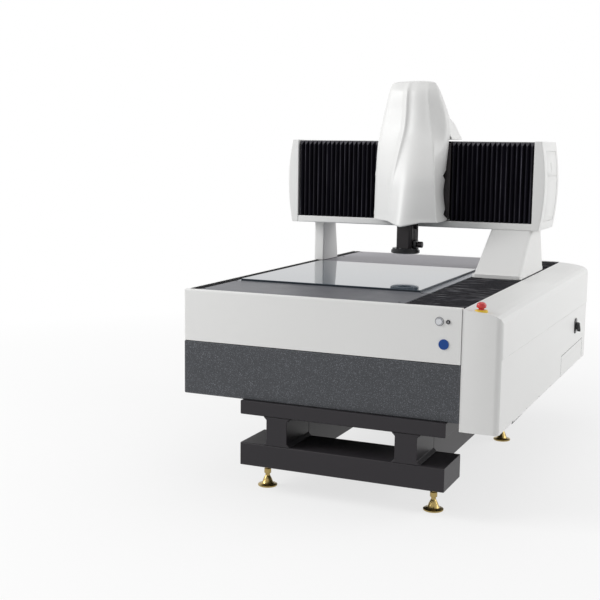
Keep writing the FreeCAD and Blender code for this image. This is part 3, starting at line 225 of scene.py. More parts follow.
def makeStoneGroup():
    # dark ground granite: grey crystals, pale flecks and a few bluish ones
    group, entry, leave = newGroup(
        "stoneCrystals",
        [("Ground Colour", "NodeSocketColor", (0.03, 0.03, 0.035, 1)),
         ("Fleck Colour", "NodeSocketColor", (0.3, 0.32, 0.35, 1)),
         ("Crystal Scale", "NodeSocketFloat", 130.0)],
        [("Colour", "NodeSocketColor"), ("Roughness", "NodeSocketFloat"), ("Height", "NodeSocketFloat")])
    place = addNode(group, "ShaderNodeTexCoord", (-1100, -200))
    crystals = addNode(group, "ShaderNodeTexVoronoi", (-800, 250))
    wire(group, place.outputs["Object"], crystals.inputs["Vector"])
    wire(group, entry.outputs["Crystal Scale"], crystals.inputs["Scale"])
    tones = group.nodes.new("ShaderNodeSeparateColor")
    tones.location = (-600, 350)
    wire(group, crystals.outputs["Color"], tones.inputs[0])
    pale = rangeNode(group, (-400, 350), tones.outputs["Red"], 0.84, 1.0, 0.0, 1.0)
    fine = addNode(group, "ShaderNodeTexNoise", (-800, -100), Scale=900.0, Detail=4.0)
    wire(group, place.outputs["Object"], fine.inputs["Vector"])
    sparkle = rangeNode(group, (-500, -100), fine.outputs["Fac"], 0.56, 0.80, 0.0, 1.0)
    fleck = mathNode(group, "ADD", (-200, 200), pale, sparkle, True)
    cloud = addNode(group, "ShaderNodeTexNoise", (-800, -400), Scale=14.0, Detail=3.0)
    wire(group, place.outputs["Object"], cloud.inputs["Vector"])
    lift = rangeNode(group, (-500, -400), cloud.outputs["Fac"], 0.3, 0.7, 0.75, 1.1)
    fleckShare = mathNode(group, "MULTIPLY", (0, 100), fleck, lift, True)
    tinted = mixColour(group, (200, 200), fleckShare, entry.outputs["Ground Colour"],
                       entry.outputs["Fleck Colour"])
    wire(group, tinted, leave.inputs["Colour"])
    rough = rangeNode(group, (200, -100), fleckShare, 0.0, 1.0, 0.42, 0.22)
    wire(group, rough, leave.inputs["Roughness"])
    wire(group, fleckShare, leave.inputs["Height"])
    return group


def makeClothGroup():
    # coated cloth of the folds: fine weave and lighter streaks along each crest, partly rubbed wear and
    # partly painted highlight
    group, entry, leave = newGroup(
        "foldCloth",
        [("Colour", "NodeSocketColor", (0.012, 0.012, 0.016, 1)),
         ("Rubbed Colour", "NodeSocketColor", (0.12, 0.12, 0.15, 1)),
         ("Rubbed Stretch", "NodeSocketVector", (60.0, 60.0, 2.0))],
        [("Colour", "NodeSocketColor"), ("Roughness", "NodeSocketFloat"), ("Height", "NodeSocketFloat")])
    place = addNode(group, "ShaderNodeTexCoord", (-1000, -200))
    threads = addNode(group, "ShaderNodeTexVoronoi", (-700, -300), Scale=900.0)
    wire(group, place.outputs["Object"], threads.inputs["Vector"])
    turn = group.nodes.new("ShaderNodeVectorMath")
    turn.operation = "MULTIPLY"
    turn.location = (-800, 150)
    wire(group, place.outputs["Object"], turn.inputs[0])
    wire(group, entry.outputs["Rubbed Stretch"], turn.inputs[1])
    streaks = addNode(group, "ShaderNodeTexNoise", (-600, 150), Scale=1.0, Detail=4.0)
    wire(group, turn.outputs[0], streaks.inputs["Vector"])
    # lighter streaks: partly rubbed wear, partly painted highlight
    rubbedAndSheen = rangeNode(group, (-400, 150), streaks.outputs["Fac"], 0.5, 0.82, 0.0, 0.6)
    tinted = mixColour(group, (100, 150), rubbedAndSheen, entry.outputs["Colour"], entry.outputs["Rubbed Colour"])
    wire(group, tinted, leave.inputs["Colour"])
    rough = rangeNode(group, (100, -100), streaks.outputs["Fac"], 0.3, 0.7, 0.42, 0.62)
    wire(group, rough, leave.inputs["Roughness"])
    wire(group, threads.outputs["Distance"], leave.inputs["Height"])
    return group


effects = {
    "coat": makeCoatGroup(),
    "edge": makeEdgeGroup(),
    "dust": makeDustGroup(),
    "brush": makeBrushGroup(),
    "stone": makeStoneGroup(),
    "cloth": makeClothGroup(),
}
print("shared effects ready:", len(effects))


def useGroup(tree, effect, place, **values):
    node = tree.nodes.new("ShaderNodeGroup")
    node.node_tree = effects[effect]
    node.location = place
    for name, value in values.items():
        node.inputs[name.replace("_", " ")].default_value = value
    return node


def newFinish(name):
    finish = bpy.data.materials.new(name)
    finish.use_nodes = True
    shader = finish.node_tree.nodes["Principled BSDF"]
    shader.location = (600, 0)
    return finish, finish.node_tree, shader


def addRelief(tree, shader, height, strength, depth):
    relief = addNode(tree, "ShaderNodeBump", (300, -350), Strength=strength, Distance=depth)
    wire(tree, height, relief.inputs["Height"])
    wire(tree, relief.outputs["Normal"], shader.inputs["Normal"])


def coatedFinish(name, look):
    # painted or moulded surface with optional worn edges and dust
    finish, tree, shader = newFinish(name)
    coat = useGroup(tree, "coat", (-300, 100), Colour=look["colour"], Drift=look.get("drift", 0.04),
                    Peel_Scale=look.get("peelScale", 700.0), Roughness=look["roughness"])
    colour = coat.outputs["Colour"]
    if look.get("edge"):
        edge = useGroup(tree, "edge", (-300, 400), Reach=look.get("edgeReach", 0.003), Amount=look["edge"])
        colour = mixColour(tree, (0, 350), edge.outputs["Mask"], colour, look["edgeColour"])
    if look.get("dust"):
        dust = useGroup(tree, "dust", (-300, -300), Amount=look["dust"])
        colour = mixColour(tree, (200, 350), dust.outputs["Mask"], colour, look["dustColour"])
    wire(tree, colour, shader.inputs["Base Color"])
    wire(tree, coat.outputs["Roughness"], shader.inputs["Roughness"])
    shader.inputs["Specular IOR Level"].default_value = look.get("specular", 0.5)
    shader.inputs["Coat Weight"].default_value = look.get("coat", 0.0)
    shader.inputs["Coat Roughness"].default_value = look.get("coatRoughness", 0.1)
    addRelief(tree, shader, coat.outputs["Height"], look.get("relief", 0.25), look.get("reliefDepth", 0.0002))
    return finish


def metalFinish(name, look):
    finish, tree, shader = newFinish(name)
    brush = useGroup(tree, "brush", (-300, 100), Stretch=look["stretch"], Roughness=look["roughness"],
                     Colour=look["colour"])
    wire(tree, brush.outputs["Colour"], shader.inputs["Base Color"])
    wire(tree, brush.outputs["Roughness"], shader.inputs["Roughness"])
    shader.inputs["Metallic"].default_value = 1.0
    addRelief(tree, shader, brush.outputs["Height"], look.get("relief", 0.1), 0.0001)
    return finish


def wearFinish(nodeNames, finish):
    for nodeName in nodeNames:
        for holder in nodes[nodeName].material_slots:
            holder.material = finish


def softenEdges(nodeNames, width, segments=3, sharpest=28.0):
    # small round on every hard edge, with the flat faces kept flat
    for nodeName in nodeNames:
        piece = nodes[nodeName]
        join = piece.modifiers.new("joinCorners", "WELD")
        join.merge_threshold = 0.00002
        soft = piece.modifiers.new("roundEdges", "BEVEL")
        soft.width = width
        soft.segments = segments
        soft.limit_method = "ANGLE"
        soft.angle_limit = math.radians(sharpest)
        soft.harden_normals = True
        soft.use_clamp_overlap = True


def placePiece(name, shape, finishes, smoothAngle=None):
    # bmesh to a linked piece with its materials
    bmesh.ops.recalc_face_normals(shape, faces=shape.faces)
    mesh = bpy.data.meshes.new(name)
    shape.to_mesh(mesh)
    shape.free()
    for finish in finishes:
        mesh.materials.append(finish)
    if smoothAngle:
        for face in mesh.polygons:
            face.use_smooth = True
        mesh.set_sharp_from_angle(angle=math.radians(smoothAngle))
    piece = bpy.data.objects.new(name, mesh)
    bpy.context.scene.collection.objects.link(piece)
    return piece


def joinRings(shape, one, two):
    # skin between two rings, either of which may be a single point
    count = max(len(one), len(two))
    for i in range(count):
        following = (i + 1) % count
        around = (one[i % len(one)], one[following % len(one)],
                  two[following % len(two)], two[i % len(two)])
        corners = []
        for vert in around:
            if vert not in corners:
                corners.append(vert)
        shape.faces.new(corners)


def makeTurned(name, finish, place, normal, outline, body, sides=48, closed=False, smoothAngle=32):
    # outline is (radius, height) along the normal; closed joins the last ring to the first
    shape = bmesh.new()
    rings = []
    for radius, height in outline:
        count = sides if radius > 0 else 1
        rings.append([shape.verts.new((radius * math.cos(2 * math.pi * i / count),
                                       radius * math.sin(2 * math.pi * i / count), height))
                      for i in range(count)])
    pairs = list(zip(rings[:-1], rings[1:]))
    if closed:
        pairs.append((rings[-1], rings[0]))
    for one, two in pairs:
        joinRings(shape, one, two)
    turn = Vector((0, 0, 1)).rotation_difference(Vector(normal)).to_matrix().to_4x4()
    shape.transform(Matrix.Translation(place) @ turn)
    piece = placePiece(name, shape, [finish], smoothAngle)
    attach(piece, body)
    return piece


def makeBlock(name, finish, low, high, body, chamfer=0.001):
    # small machined block with its twelve edges rounded
    shape = bmesh.new()
    bmesh.ops.create_cube(shape, size=1.0)
    low, high = Vector(low), Vector(high)
    for vert in shape.verts:
        vert.co = Vector([low[i] + (vert.co[i] + 0.5) * (high[i] - low[i]) for i in range(3)])
    bmesh.ops.bevel(shape, geom=shape.edges[:], offset=chamfer, segments=2, affect="EDGES", profile=0.5)
    piece = placePiece(name, shape, [finish], 50)
    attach(piece, body)
    return piece


# White powder coated sheet covers

# the lighter edgeColour is painted highlight along the corners of the white sheet
whiteCoverLook = {
    "colour": (0.80, 0.80, 0.79, 1), "roughness": 0.42, "drift": 0.03, "peelScale": 900.0,
    "relief": 0.2, "edge": 0.35, "edgeReach": 0.003, "edgeColour": (0.88, 0.88, 0.87, 1), "round": 0.0012,
}
wearFinish(["front_cover", "rear_cover", "left_side_cover", "beam_cover", "beam_bottom_plate"],
           coatedFinish("whiteSheet", whiteCoverLook))

# the lighter edgeColour is painted highlight along the rounded corners of the shells
shellLook = {
    "colour": (0.81, 0.81, 0.80, 1), "roughness": 0.38, "drift": 0.025, "peelScale": 500.0,
    "relief": 0.15, "edge": 0.25, "edgeReach": 0.006, "edgeColour": (0.88, 0.88, 0.87, 1), "round": 0.006,
}
whiteShell = coatedFinish("whiteShell", shellLook)
wearFinish(["right_side_cover", "service_panel", "head_cover", "saddle_cover", "end_cap_right",
            "end_cap_left", "end_cap_panels"], whiteShell)
softenEdges(["end_cap_right", "end_cap_left", "saddle_cover"], shellLook["round"])
softenEdges(["end_cap_panels", "service_panel", "beam_bottom_plate"], whiteCoverLook["round"], 2)

# the lighter edgeColour is painted highlight along the corners of the cast legs
castLegLook = {
    "colour": (0.79, 0.79, 0.78, 1), "roughness": 0.45, "drift": 0.05, "peelScale": 260.0,
    "relief": 0.4, "edge": 0.3, "edgeReach": 0.004, "edgeColour": (0.87, 0.87, 0.86, 1), "round": 0.003,
}
wearFinish(["right_leg", "left_leg"], coatedFinish("whiteCasting", castLegLook))
softenEdges(["right_leg", "left_leg"], castLegLook["round"])
print("white covers finished")


# Stand and feet

standLook = {
    "colour": (0.018, 0.0155, 0.019, 1), "roughness": 0.42, "drift": 0.3, "peelScale": 320.0,
    "relief": 0.3, "edge": 0.45, "edgeReach": 0.004, "edgeColour": (0.07, 0.066, 0.072, 1),
    "dust": 0.12, "dustColour": (0.12, 0.115, 0.115, 1), "specular": 0.35, "round": 0.003,
}
standNodes = ["stand_lower_beams", "stand_upper_beams", "stand_uprights", "stand_side_girders"]
wearFinish(standNodes, coatedFinish("blackStand", standLook))
softenEdges(standNodes, standLook["round"])

brassLook = {"colour": (0.44, 0.33, 0.13, 1), "roughness": 0.30, "stretch": (30.0, 30.0, 900.0)}
brassFinish = metalFinish("turnedBrass", brassLook)
nutLook = {"colour": (0.34, 0.27, 0.15, 1), "roughness": 0.38, "stretch": (200.0, 200.0, 40.0),
           "round": 0.0012}
wearFinish(["foot_lock_nuts"], metalFinish("nutMetal", nutLook))
softenEdges(["foot_lock_nuts"], nutLook["round"], 2)

footLook = {"discRadius": 0.046, "discHeight": 0.009, "coneRadius": 0.026, "coneTop": 0.050,
            "neckRadius": 0.011, "hubRadius": 0.0165, "hubFrom": 0.062, "hubTo": 0.084, "studRadius": 0.009}


def makeFeet(look):
    # turned foot: thin disc, hollow cone, neck, hub and stud
    low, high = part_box("levelling_feet")
    disc, thick, cone, top = look["discRadius"], look["discHeight"], look["coneRadius"], look["coneTop"]
    neck, hub, stud = look["neckRadius"], look["hubRadius"], look["studRadius"]
    outline = [(0, 0), (disc - 0.002, 0), (disc, 0.002), (disc, thick - 0.002), (disc - 0.003, thick),
               (cone + 0.006, thick + 0.002), (cone, thick + 0.007), (cone - 0.005, thick + 0.022),
               (neck + 0.002, top - 0.003), (neck, top), (neck, look["hubFrom"]),
               (hub - 0.001, look["hubFrom"]),
               (hub, look["hubFrom"] + 0.001), (hub, look["hubTo"] - 0.001), (hub - 0.001, look["hubTo"]),
               (stud, look["hubTo"] + 0.001), (stud, high.z), (0, high.z)]
    count = 0
    for x in (low.x + disc, high.x - disc):
        for y in (low.y + disc, high.y - disc):
            foot = makeTurned(f"foot_{count}", brassFinish, (x, y, 0), (0, 0, 1), outline,
                              "base")
            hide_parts("levelling_feet")
            count += 1


makeFeet(footLook)
print("stand finished")


# Granite block

graniteLook = {
    "groundColour": (0.034, 0.037, 0.043, 1), "fleckColour": (0.19, 0.20, 0.225, 1),
    "crystalScale": 430.0, "arrisColour": (0.26, 0.27, 0.28, 1), "arrisReach": 0.005, "arrisWorn": 0.6,
}


def makeGraniteFinish(look):
    finish, tree, shader = newFinish("groundGranite")
    stone = useGroup(tree, "stone", (-300, 100), Ground_Colour=look["groundColour"],
                     Fleck_Colour=look["fleckColour"], Crystal_Scale=look["crystalScale"])
    edge = useGroup(tree, "edge", (-300, 400), Reach=look["arrisReach"], Amount=look["arrisWorn"])
    colour = mixColour(tree, (0, 300), edge.outputs["Mask"], stone.outputs["Colour"], look["arrisColour"])
    wire(tree, colour, shader.inputs["Base Color"])
    wire(tree, stone.outputs["Roughness"], shader.inputs["Roughness"])
    addRelief(tree, shader, stone.outputs["Height"], 0.12, 0.0002)
    return finish


wearFinish(["granite_base"], makeGraniteFinish(graniteLook))
print("granite finished")


# Deck plates and stage

deckFrontLook = {
    "colour": (0.090, 0.092, 0.106, 1), "roughness": 0.40, "drift": 0.10, "peelScale": 600.0,
    "specular": 0.16, "relief": 0.15, "edge": 0.3, "edgeReach": 0.002, "edgeColour": (0.4, 0.41, 0.43, 1),
    "dust": 0.10, "dustColour": (0.5, 0.5, 0.5, 1),
}
wearFinish(["deck_front_plate"], coatedFinish("deckFrontPaint", deckFrontLook))

deckRearLook = dict(deckFrontLook, colour=(0.26, 0.25, 0.28, 1))
wearFinish(["deck_rear_plate"], coatedFinish("deckRearPaint", deckRearLook))

stripLook = {"colour": (0.40, 0.42, 0.46, 1), "roughness": 0.34, "stretch": (700.0, 5.0, 700.0)}
wearFinish(["deck_side_strips"], metalFinish("satinStrip", stripLook))

riserLook = {
    "colour": (0.12, 0.125, 0.13, 1), "roughness": 0.5, "drift": 0.1, "peelScale": 180.0,
    "relief": 0.5, "edge": 0.2, "edgeColour": (0.3, 0.3, 0.3, 1),
}
wearFinish(["stage_risers", "stage_side_beams"], coatedFinish("castingPaint", riserLook))

glassLook = {
    "topColour": (0.050, 0.078, 0.110, 1), "edgeColour": (0.010, 0.018, 0.028, 1),
    "roughness": 0.03, "smear": 0.05, "ior": 1.52, "coat": 0.30, "coatRoughness": 0.02,
}


def makeGlassFinish(look):
    # plate that mirrors what is over it: dark blue on top, with painted shade on its side faces, darker the
    # less they face upwards
    finish, tree, shader = newFinish("stagePlate")
    facing = addNode(tree, "ShaderNodeNewGeometry", (-700, 200))
    parts = tree.nodes.new("ShaderNodeSeparateXYZ")
    parts.location = (-500, 200)
    wire(tree, facing.outputs["Normal"], parts.inputs[0])
    # painted shade: edgeColour takes over as the faces turn away from upwards
    level = rangeNode(tree, (-300, 200), parts.outputs["Z"], 0.2, 0.9, 0.0, 1.0)
    colour = mixColour(tree, (0, 200), level, look["edgeColour"], look["topColour"])
    wire(tree, colour, shader.inputs["Base Color"])
    place = addNode(tree, "ShaderNodeTexCoord", (-700, -200))
    film = addNode(tree, "ShaderNodeTexNoise", (-500, -200), Scale=6.0, Detail=5.0)
    wire(tree, place.outputs["Object"], film.inputs["Vector"])
    rough = rangeNode(tree, (-200, -200), film.outputs["Fac"], 0.3, 0.8, look["roughness"],
                      look["roughness"] + look["smear"])
    wire(tree, rough, shader.inputs["Roughness"])
    shader.inputs["IOR"].default_value = look["ior"]
    shader.inputs["Coat Weight"].default_value = look["coat"]
    shader.inputs["Coat Roughness"].default_value = look["coatRoughness"]
    return finish


wearFinish(["stage_glass"], makeGlassFinish(glassLook))
print("deck and stage finished")


# Guides and machined metal

railLook = {"colour": (0.60, 0.61, 0.62, 1), "roughness": 0.24, "stretch": (500.0, 3.0, 500.0)}
wearFinish(["y_rails", "y_rail_blocks"], metalFinish("groundRail", railLook))
acrossLook = dict(railLook, stretch=(3.0, 500.0, 500.0))
wearFinish(["x_rails", "x_rail_blocks", "z_rails"], metalFinish("groundRailAcross", acrossLook))
trackLook = {"colour": (0.45, 0.46, 0.48, 1), "roughness": 0.4, "stretch": (90.0, 90.0, 90.0)}
wearFinish(["y_motor_track", "x_motor_track"], metalFinish("platedTrack", trackLook))
machinedLook = {"colour": (0.66, 0.67, 0.68, 1), "roughness": 0.36, "stretch": (4.0, 300.0, 300.0)}
wearFinish(["cross_beam", "z_plate", "z_motor", "right_shoe", "left_shoe",
            "backlight_bar"], metalFinish("milledMetal", machinedLook))
print("guides finished")


# Optics

anodisedLook = {
    "colour": (0.013, 0.010, 0.0115, 1), "roughness": 0.40, "drift": 0.15, "peelScale": 1200.0,
    "relief": 0.15, "edge": 0.4, "edgeReach": 0.002, "edgeColour": (0.07, 0.065, 0.065, 1), "specular": 0.4,
    "round": 0.0015,
}
anodisedFinish = coatedFinish("blackAnodised", anodisedLook)
wearFinish(["optics_column", "zoom_lens", "camera_body", "carriage_plate"], anodisedFinish)
softenEdges(["optics_column", "carriage_plate"], anodisedLook["round"], 2)
glossBlackLook = dict(anodisedLook, colour=(0.005, 0.005, 0.007, 1), roughness=0.22, specular=0.35)
glossBlack = coatedFinish("glossBlack", glossBlackLook)
diffuserLook = {"colour": (0.82, 0.83, 0.82, 1), "roughness": 0.3, "drift": 0.02}
wearFinish(["ring_diffuser"], coatedFinish("diffuserWhite", diffuserLook))

opticsLook = {
    "lampStep": 0.006, "lampRise": 0.009, "lampBore": 0.040, "lampWaist": 0.62,
    "screws": 6, "screwTurn": 20.0,
    "ribs": 5, "ribProud": 0.0028, "ribWidth": 0.007,
    "unitLow": 1.058, "unitHigh": 1.104, "unitGap": 0.0031, "unitWidth": 0.021, "unitFront": 0.012,
    "unitBack": 0.006, "knobFrom": 0.0205, "knobReach": 0.016, "knobRadius": 0.017, "knobRidges": 28,
}


def makeRingLamp(look):
    low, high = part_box("ring_light")
    centre = (low + high) / 2
    radius = (high.x - low.x) / 2
    tall = high.z - low.z + look["lampRise"]
    step, bore, waist = look["lampStep"], look["lampBore"], tall * look["lampWaist"]
    outline = [(bore, 0), (radius - 0.001, 0), (radius, 0.001), (radius, tall * 0.55),
               (radius - 0.0015, waist), (radius - step, waist), (radius - step, tall - 0.0015),
               (radius - step - 0.0015, tall), (bore + 0.002, tall), (bore, tall - 0.002)]
    lamp = makeTurned("ringLamp", glossBlack, (centre.x, centre.y, low.z), (0, 0, 1), outline, "z_slide",
                      72, True)
    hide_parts("ring_light")
    screwOutline = [(0, 0), (0.0028, 0), (0.0028, 0.0008), (0.0022, 0.0014), (0, 0.0014)]
    for i in range(look["screws"]):
        angle = math.radians(360 / look["screws"] * i + look["screwTurn"])
        spot = Vector((centre.x + (radius - step * 2.4) * math.cos(angle),
                       centre.y + (radius - step * 2.4) * math.sin(angle), low.z + tall - 0.0003))
        makeTurned(f"ringScrew_{i}", brightMetal, spot, (0, 0, 1), screwOutline,
                   "z_slide", 16)


def makeColumnRibs(look):
    # upright ribs on the right face of the optics column
    low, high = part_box("optics_column")
    pitch = (high.y - low.y) / (look["ribs"] + 0.4)
    for i in range(look["ribs"]):
        start = low.y + pitch * (i + 0.5)
        makeBlock(f"columnRib_{i}", anodisedFinish, (high.x - 0.0005, start, low.z + 0.006),
                  (high.x + look["ribProud"], start + look["ribWidth"], high.z - 0.002),
                  "z_slide")


def makeSideLamp(look):
    # lamp block with a ridged knob, and its little stop at the top of the column
    low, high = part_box("side_light")
    middle = (low.y + high.y) / 2
    body = makeBlock("sideLampBody", glossBlack,
                     (low.x + look["unitGap"], low.y - look["unitFront"], look["unitLow"]),
                     (low.x + look["unitWidth"], high.y - look["unitBack"], look["unitHigh"]),
                     "z_slide", 0.002)
    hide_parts("side_light")
    long = high.x + look["knobReach"] - low.x - look["knobFrom"] - 0.001
    shares = ((0.0, 0.0), (0.8, 0.0), (0.8, 0.2), (1.0, 0.25), (1.0, 0.95), (0.92, 1.0), (0.0, 1.0))
    ridged = [(look["knobRadius"] * radius, long * height) for radius, height in shares]
    level = (look["unitLow"] + look["unitHigh"]) / 2
    place = Vector((low.x + look["knobFrom"], middle - look["unitBack"], level))
    makeTurned("sideLampKnob", anodisedFinish, place, (1, 0, 0), ridged, "z_slide",
               look["knobRidges"], False, 5)
    makeBlock("columnStop", anodisedFinish, (low.x, high.y - 0.018, high.z - 0.020),
              (low.x + 0.017, high.y - 0.004, high.z + 0.004), "z_slide", 0.0015)


# Controls

estopRedLook = {"colour": (0.60, 0.012, 0.014, 1), "roughness": 0.26, "drift": 0.05, "coat": 0.4}
estopYellowLook = {"colour": (0.80, 0.55, 0.04, 1), "roughness": 0.36, "drift": 0.05}
brightLook = {"colour": (0.62, 0.63, 0.65, 1), "roughness": 0.18, "stretch": (600.0, 600.0, 600.0)}
brightMetal = metalFinish("brightButton", brightLook)
wearFinish(["start_button"], brightMetal)
blackPlasticLook = {"colour": (0.012, 0.012, 0.014, 1), "roughness": 0.34, "drift": 0.1, "peelScale": 1500.0,
                    "round": 0.0008}
blackPlastic = coatedFinish("blackMoulded", blackPlasticLook)
wearFinish(["key_switch", "main_switch_handle", "power_inlet", "main_switch_plate"], blackPlastic)
softenEdges(["key_switch", "main_switch_handle", "power_inlet", "start_button"], blackPlasticLook["round"], 2)
blueLook = {"colour": (0.002, 0.055, 0.27, 1), "roughness": 0.25, "drift": 0.06, "coat": 0.2, "specular": 0.2}
wearFinish(["indicator_disc"], coatedFinish("blueLens", blueLook))

stopLook = {"domeRise": 0.014, "skirt": 0.024, "stem": 0.012, "plateBore": 0.0145, "plateShare": 0.62,
            "steps": 8}


def makeStopButton(look):
    # domed mushroom over a thin yellow plate
    low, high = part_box("estop_button")
    centre = (low + high) / 2
    radius = (high.x - low.x) / 2
    dome = [(0, high.z)]
    for i in range(1, look["steps"] + 1):
        angle = math.pi / 2 * i / look["steps"]
        dome.append((radius * math.sin(angle), high.z - look["domeRise"] * (1 - math.cos(angle))))
    skirt = high.z - look["skirt"]
    dome += [(radius, skirt + 0.002), (radius - 0.0015, skirt), (look["stem"], skirt - 0.004),
             (look["stem"], low.z), (0, low.z)]
    outline = [(r, z - low.z) for r, z in reversed(dome)]
    button = makeTurned("stopMushroom", coatedFinish("stopRed", estopRedLook), (centre.x, centre.y, low.z),
                        (0, 0, 1), outline, "estop")
    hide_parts("estop_button")
    low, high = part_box("estop_base")
    radius = (high.x - low.x) / 2
    tall = (high.z - low.z) * look["plateShare"]
    outline = [(look["plateBore"], 0), (radius, 0), (radius, tall - 0.003), (radius - 0.003, tall),
               (look["plateBore"] + 0.001, tall), (look["plateBore"], tall - 0.001)]
    plate = makeTurned("stopPlate", coatedFinish("stopYellow", estopYellowLook), (centre.x, centre.y, low.z),
                       (0, 0, 1), outline, "base", 48, True)
    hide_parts("estop_base")


def makeBezel():
    # rounded ring round the button, with a flat black ring at its rim as painted shade for the groove
    low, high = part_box("button_bezel")
    centre = (low + high) / 2
    radius = (high.z - low.z) / 2
    inner = (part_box("start_button")[1].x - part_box("start_button")[0].x) / 2 + 0.0008
    proud = high.y - low.y
    outline = [(inner, 0), (radius, 0), (radius, proud * 0.5), (radius - 0.0012, proud),
               (inner + 0.0012, proud), (inner, proud * 0.6)]
    ring = makeTurned("bezelRing", brightMetal, (centre.x, high.y, centre.z), (0, -1, 0), outline,
                      "base", 48, True)
    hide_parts("button_bezel")
    # painted shade: flat black ring in the moulded black finish for the dark groove at the bezel's rim
    outline = [(radius - 0.0004, 0), (radius + 0.0016, 0), (radius + 0.0014, 0.0007),
               (radius - 0.0004, 0.0007)]
    makeTurned("bezelGrooveShade", blackPlastic, (centre.x, high.y, centre.z), (0, -1, 0), outline, "base",
               48, True)
    low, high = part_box("key_switch")
    centre = (low + high) / 2
    makeBlock("keySlot", brightMetal, (centre.x - 0.0011, low.y - 0.0004, centre.z - 0.0052),
              (centre.x + 0.0011, low.y + 0.0004, centre.z + 0.0052), "key_barrel", 0.0002)


makeRingLamp(opticsLook)
makeColumnRibs(opticsLook)
makeSideLamp(opticsLook)
makeStopButton(stopLook)
makeBezel()
print("optics and controls finished")


# Rubber lips of the left slot

lipLook = {"outerFrom": -0.7085, "outerTo": -0.7006, "innerFrom": -0.6876, "innerTo": -0.6615,
           "rise": 0.0011, "thick": 0.0020, "round": 0.0004}
rubberLook = {"colour": (0.004, 0.004, 0.005, 1), "roughness": 0.85, "drift": 0.2, "peelScale": 400.0,
              "specular": 0.08}
rubber = coatedFinish("blackRubber", rubberLook)


def makeLips(look):
    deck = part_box("deck_front_plate")[1].z
    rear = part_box("deck_rear_plate")[1].y
    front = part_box("deck_front_plate")[0].y
    top = deck + look["rise"]
    for name in ("outer", "inner"):
        makeBlock("slotLip_" + name, rubber, (look[name + "From"], front, top - look["thick"]),
                  (look[name + "To"], rear, top), "base", look["round"])


makeLips(lipLook)
print("slot lips laid")


# Dark strip round the service panel: painted shade in its narrow seam

seamLook = {"width": 0.0022, "proud": 0.0003, "steps": 12, "inset": 0.004, "footGap": 0.01}


def surfaceX(node, y, z):
    # outer face of a node at this height and depth, seen from the right
    origin = Vector((2.0, y, z))
    hit, place, _, _ = nodes[node].ray_cast(origin, Vector((-1, 0, 0)))
    return place.x if hit else None


def makeSeam(look):
    # a black strip in the black rubber finish along the seam, painted shade for the shadow in the narrow gap
    low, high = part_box("service_panel")
    gap, steps = look["inset"], look["steps"]
    foot = low.z + look["footGap"]
    rise = (high.z + gap - foot) / steps
    run = (high.y - low.y + 2 * gap) / steps
    route = [(low.y - gap, foot + rise * i) for i in range(steps)]
    route += [(low.y - gap + run * i, high.z + gap) for i in range(steps + 1)]
    route += [(high.y + gap, high.z + gap - rise * (i + 1)) for i in range(steps)]
    shape = bmesh.new()
    rings = []
    for number, (y, z) in enumerate(route):
        x = surfaceX("right_side_cover", y, z)
        if x is None:
            continue
        before = Vector(route[max(0, number - 1)])
        after = Vector(route[min(len(route) - 1, number + 1)])
        half = (after - before).normalized() * look["width"] / 2
        out, sunk = x + look["proud"], x - look["width"]
        rings.append([shape.verts.new(point) for point in
                      ((out, y - half.y, z + half.x), (out, y + half.y, z - half.x),
                       (sunk, y + half.y, z - half.x), (sunk, y - half.y, z + half.x))])
    for one, two in zip(rings[:-1], rings[1:]):
        joinRings(shape, one, two)
    shape.faces.new(rings[0][::-1])
    shape.faces.new(rings[-1])
    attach(placePiece("servicePanelSeamShade", shape, [rubber]), "base")


makeSeam(seamLook)
print("panel seam drawn")


# Bellows

bellowsLook = {"skin": 0.0012, "segments": 14}
clothLook = {"colour": (0.0032, 0.0026, 0.0058, 1), "rubbedAndSheen": (0.020, 0.018, 0.034, 1), "specular": 0.22}
# crest and gusset looks are lighter copies of the fold cloth: painted highlight on the crests and on the
# facets that end them
crestLook = {"colour": (0.007, 0.006, 0.011, 1), "rubbedAndSheen": (0.22, 0.21, 0.26, 1), "specular": 0.22}
deckCrestLook = {"colour": (0.012, 0.012, 0.014, 1), "rubbedAndSheen": (0.55, 0.55, 0.58, 1), "specular": 0.2}
gussetLook = {"colour": (0.050, 0.048, 0.056, 1), "rubbedAndSheen": (0.20, 0.20, 0.23, 1), "specular": 0.2}


def makeClothFinish(name, look, stretch):
    finish, tree, shader = newFinish(name)
    cloth = useGroup(tree, "cloth", (-300, 100), Colour=look["colour"], Rubbed_Colour=look["rubbedAndSheen"],
                     Rubbed_Stretch=stretch)
    wire(tree, cloth.outputs["Colour"], shader.inputs["Base Color"])
    wire(tree, cloth.outputs["Roughness"], shader.inputs["Roughness"])
    shader.inputs["Specular IOR Level"].default_value = look["specular"]
    addRelief(tree, shader, cloth.outputs["Height"], 0.2, 0.0003)
    return finish


def foldBands(folds, bands):
    # whole folds per band, with short bands near both ends
    edges = [round(folds * (1 - math.cos(math.pi * i / bands)) / 2) for i in range(bands + 1)]
    unique = sorted(set(edges))
    return list(zip(unique[:-1], unique[1:]))


def foldProfile(first, last, pitch, folding):
    # valley, band and both edges of each crest as (distance, drop)
    line = []
    half = folding["crest"] / 2
    band = folding["band"]
    for fold in range(first, last):
        middle = (fold + 0.5) * pitch
        line.append((fold * pitch, folding["depth"]))
        if band:
            line.append((middle - half - band * 0.6, band))
        line.append((middle - half, 0.0))
        line.append((middle + half, 0.0))
        if band:
            line.append((middle + half + band * 0.6, band))
    line.append((last * pitch, folding["depth"]))
    return line


def addGusset(shape, corners, lift):
    # small closed facet that ends a crest
    front = [shape.verts.new(point) for point in corners]
    back = [shape.verts.new(point + lift) for point in corners]
    faces = [shape.faces.new(front), shape.faces.new(back[::-1])]
    for one in range(4):
        two = (one + 1) % 4
        faces.append(shape.faces.new((front[one], back[one], back[two], front[two])))
    for face in faces:
        face.material_index = 2


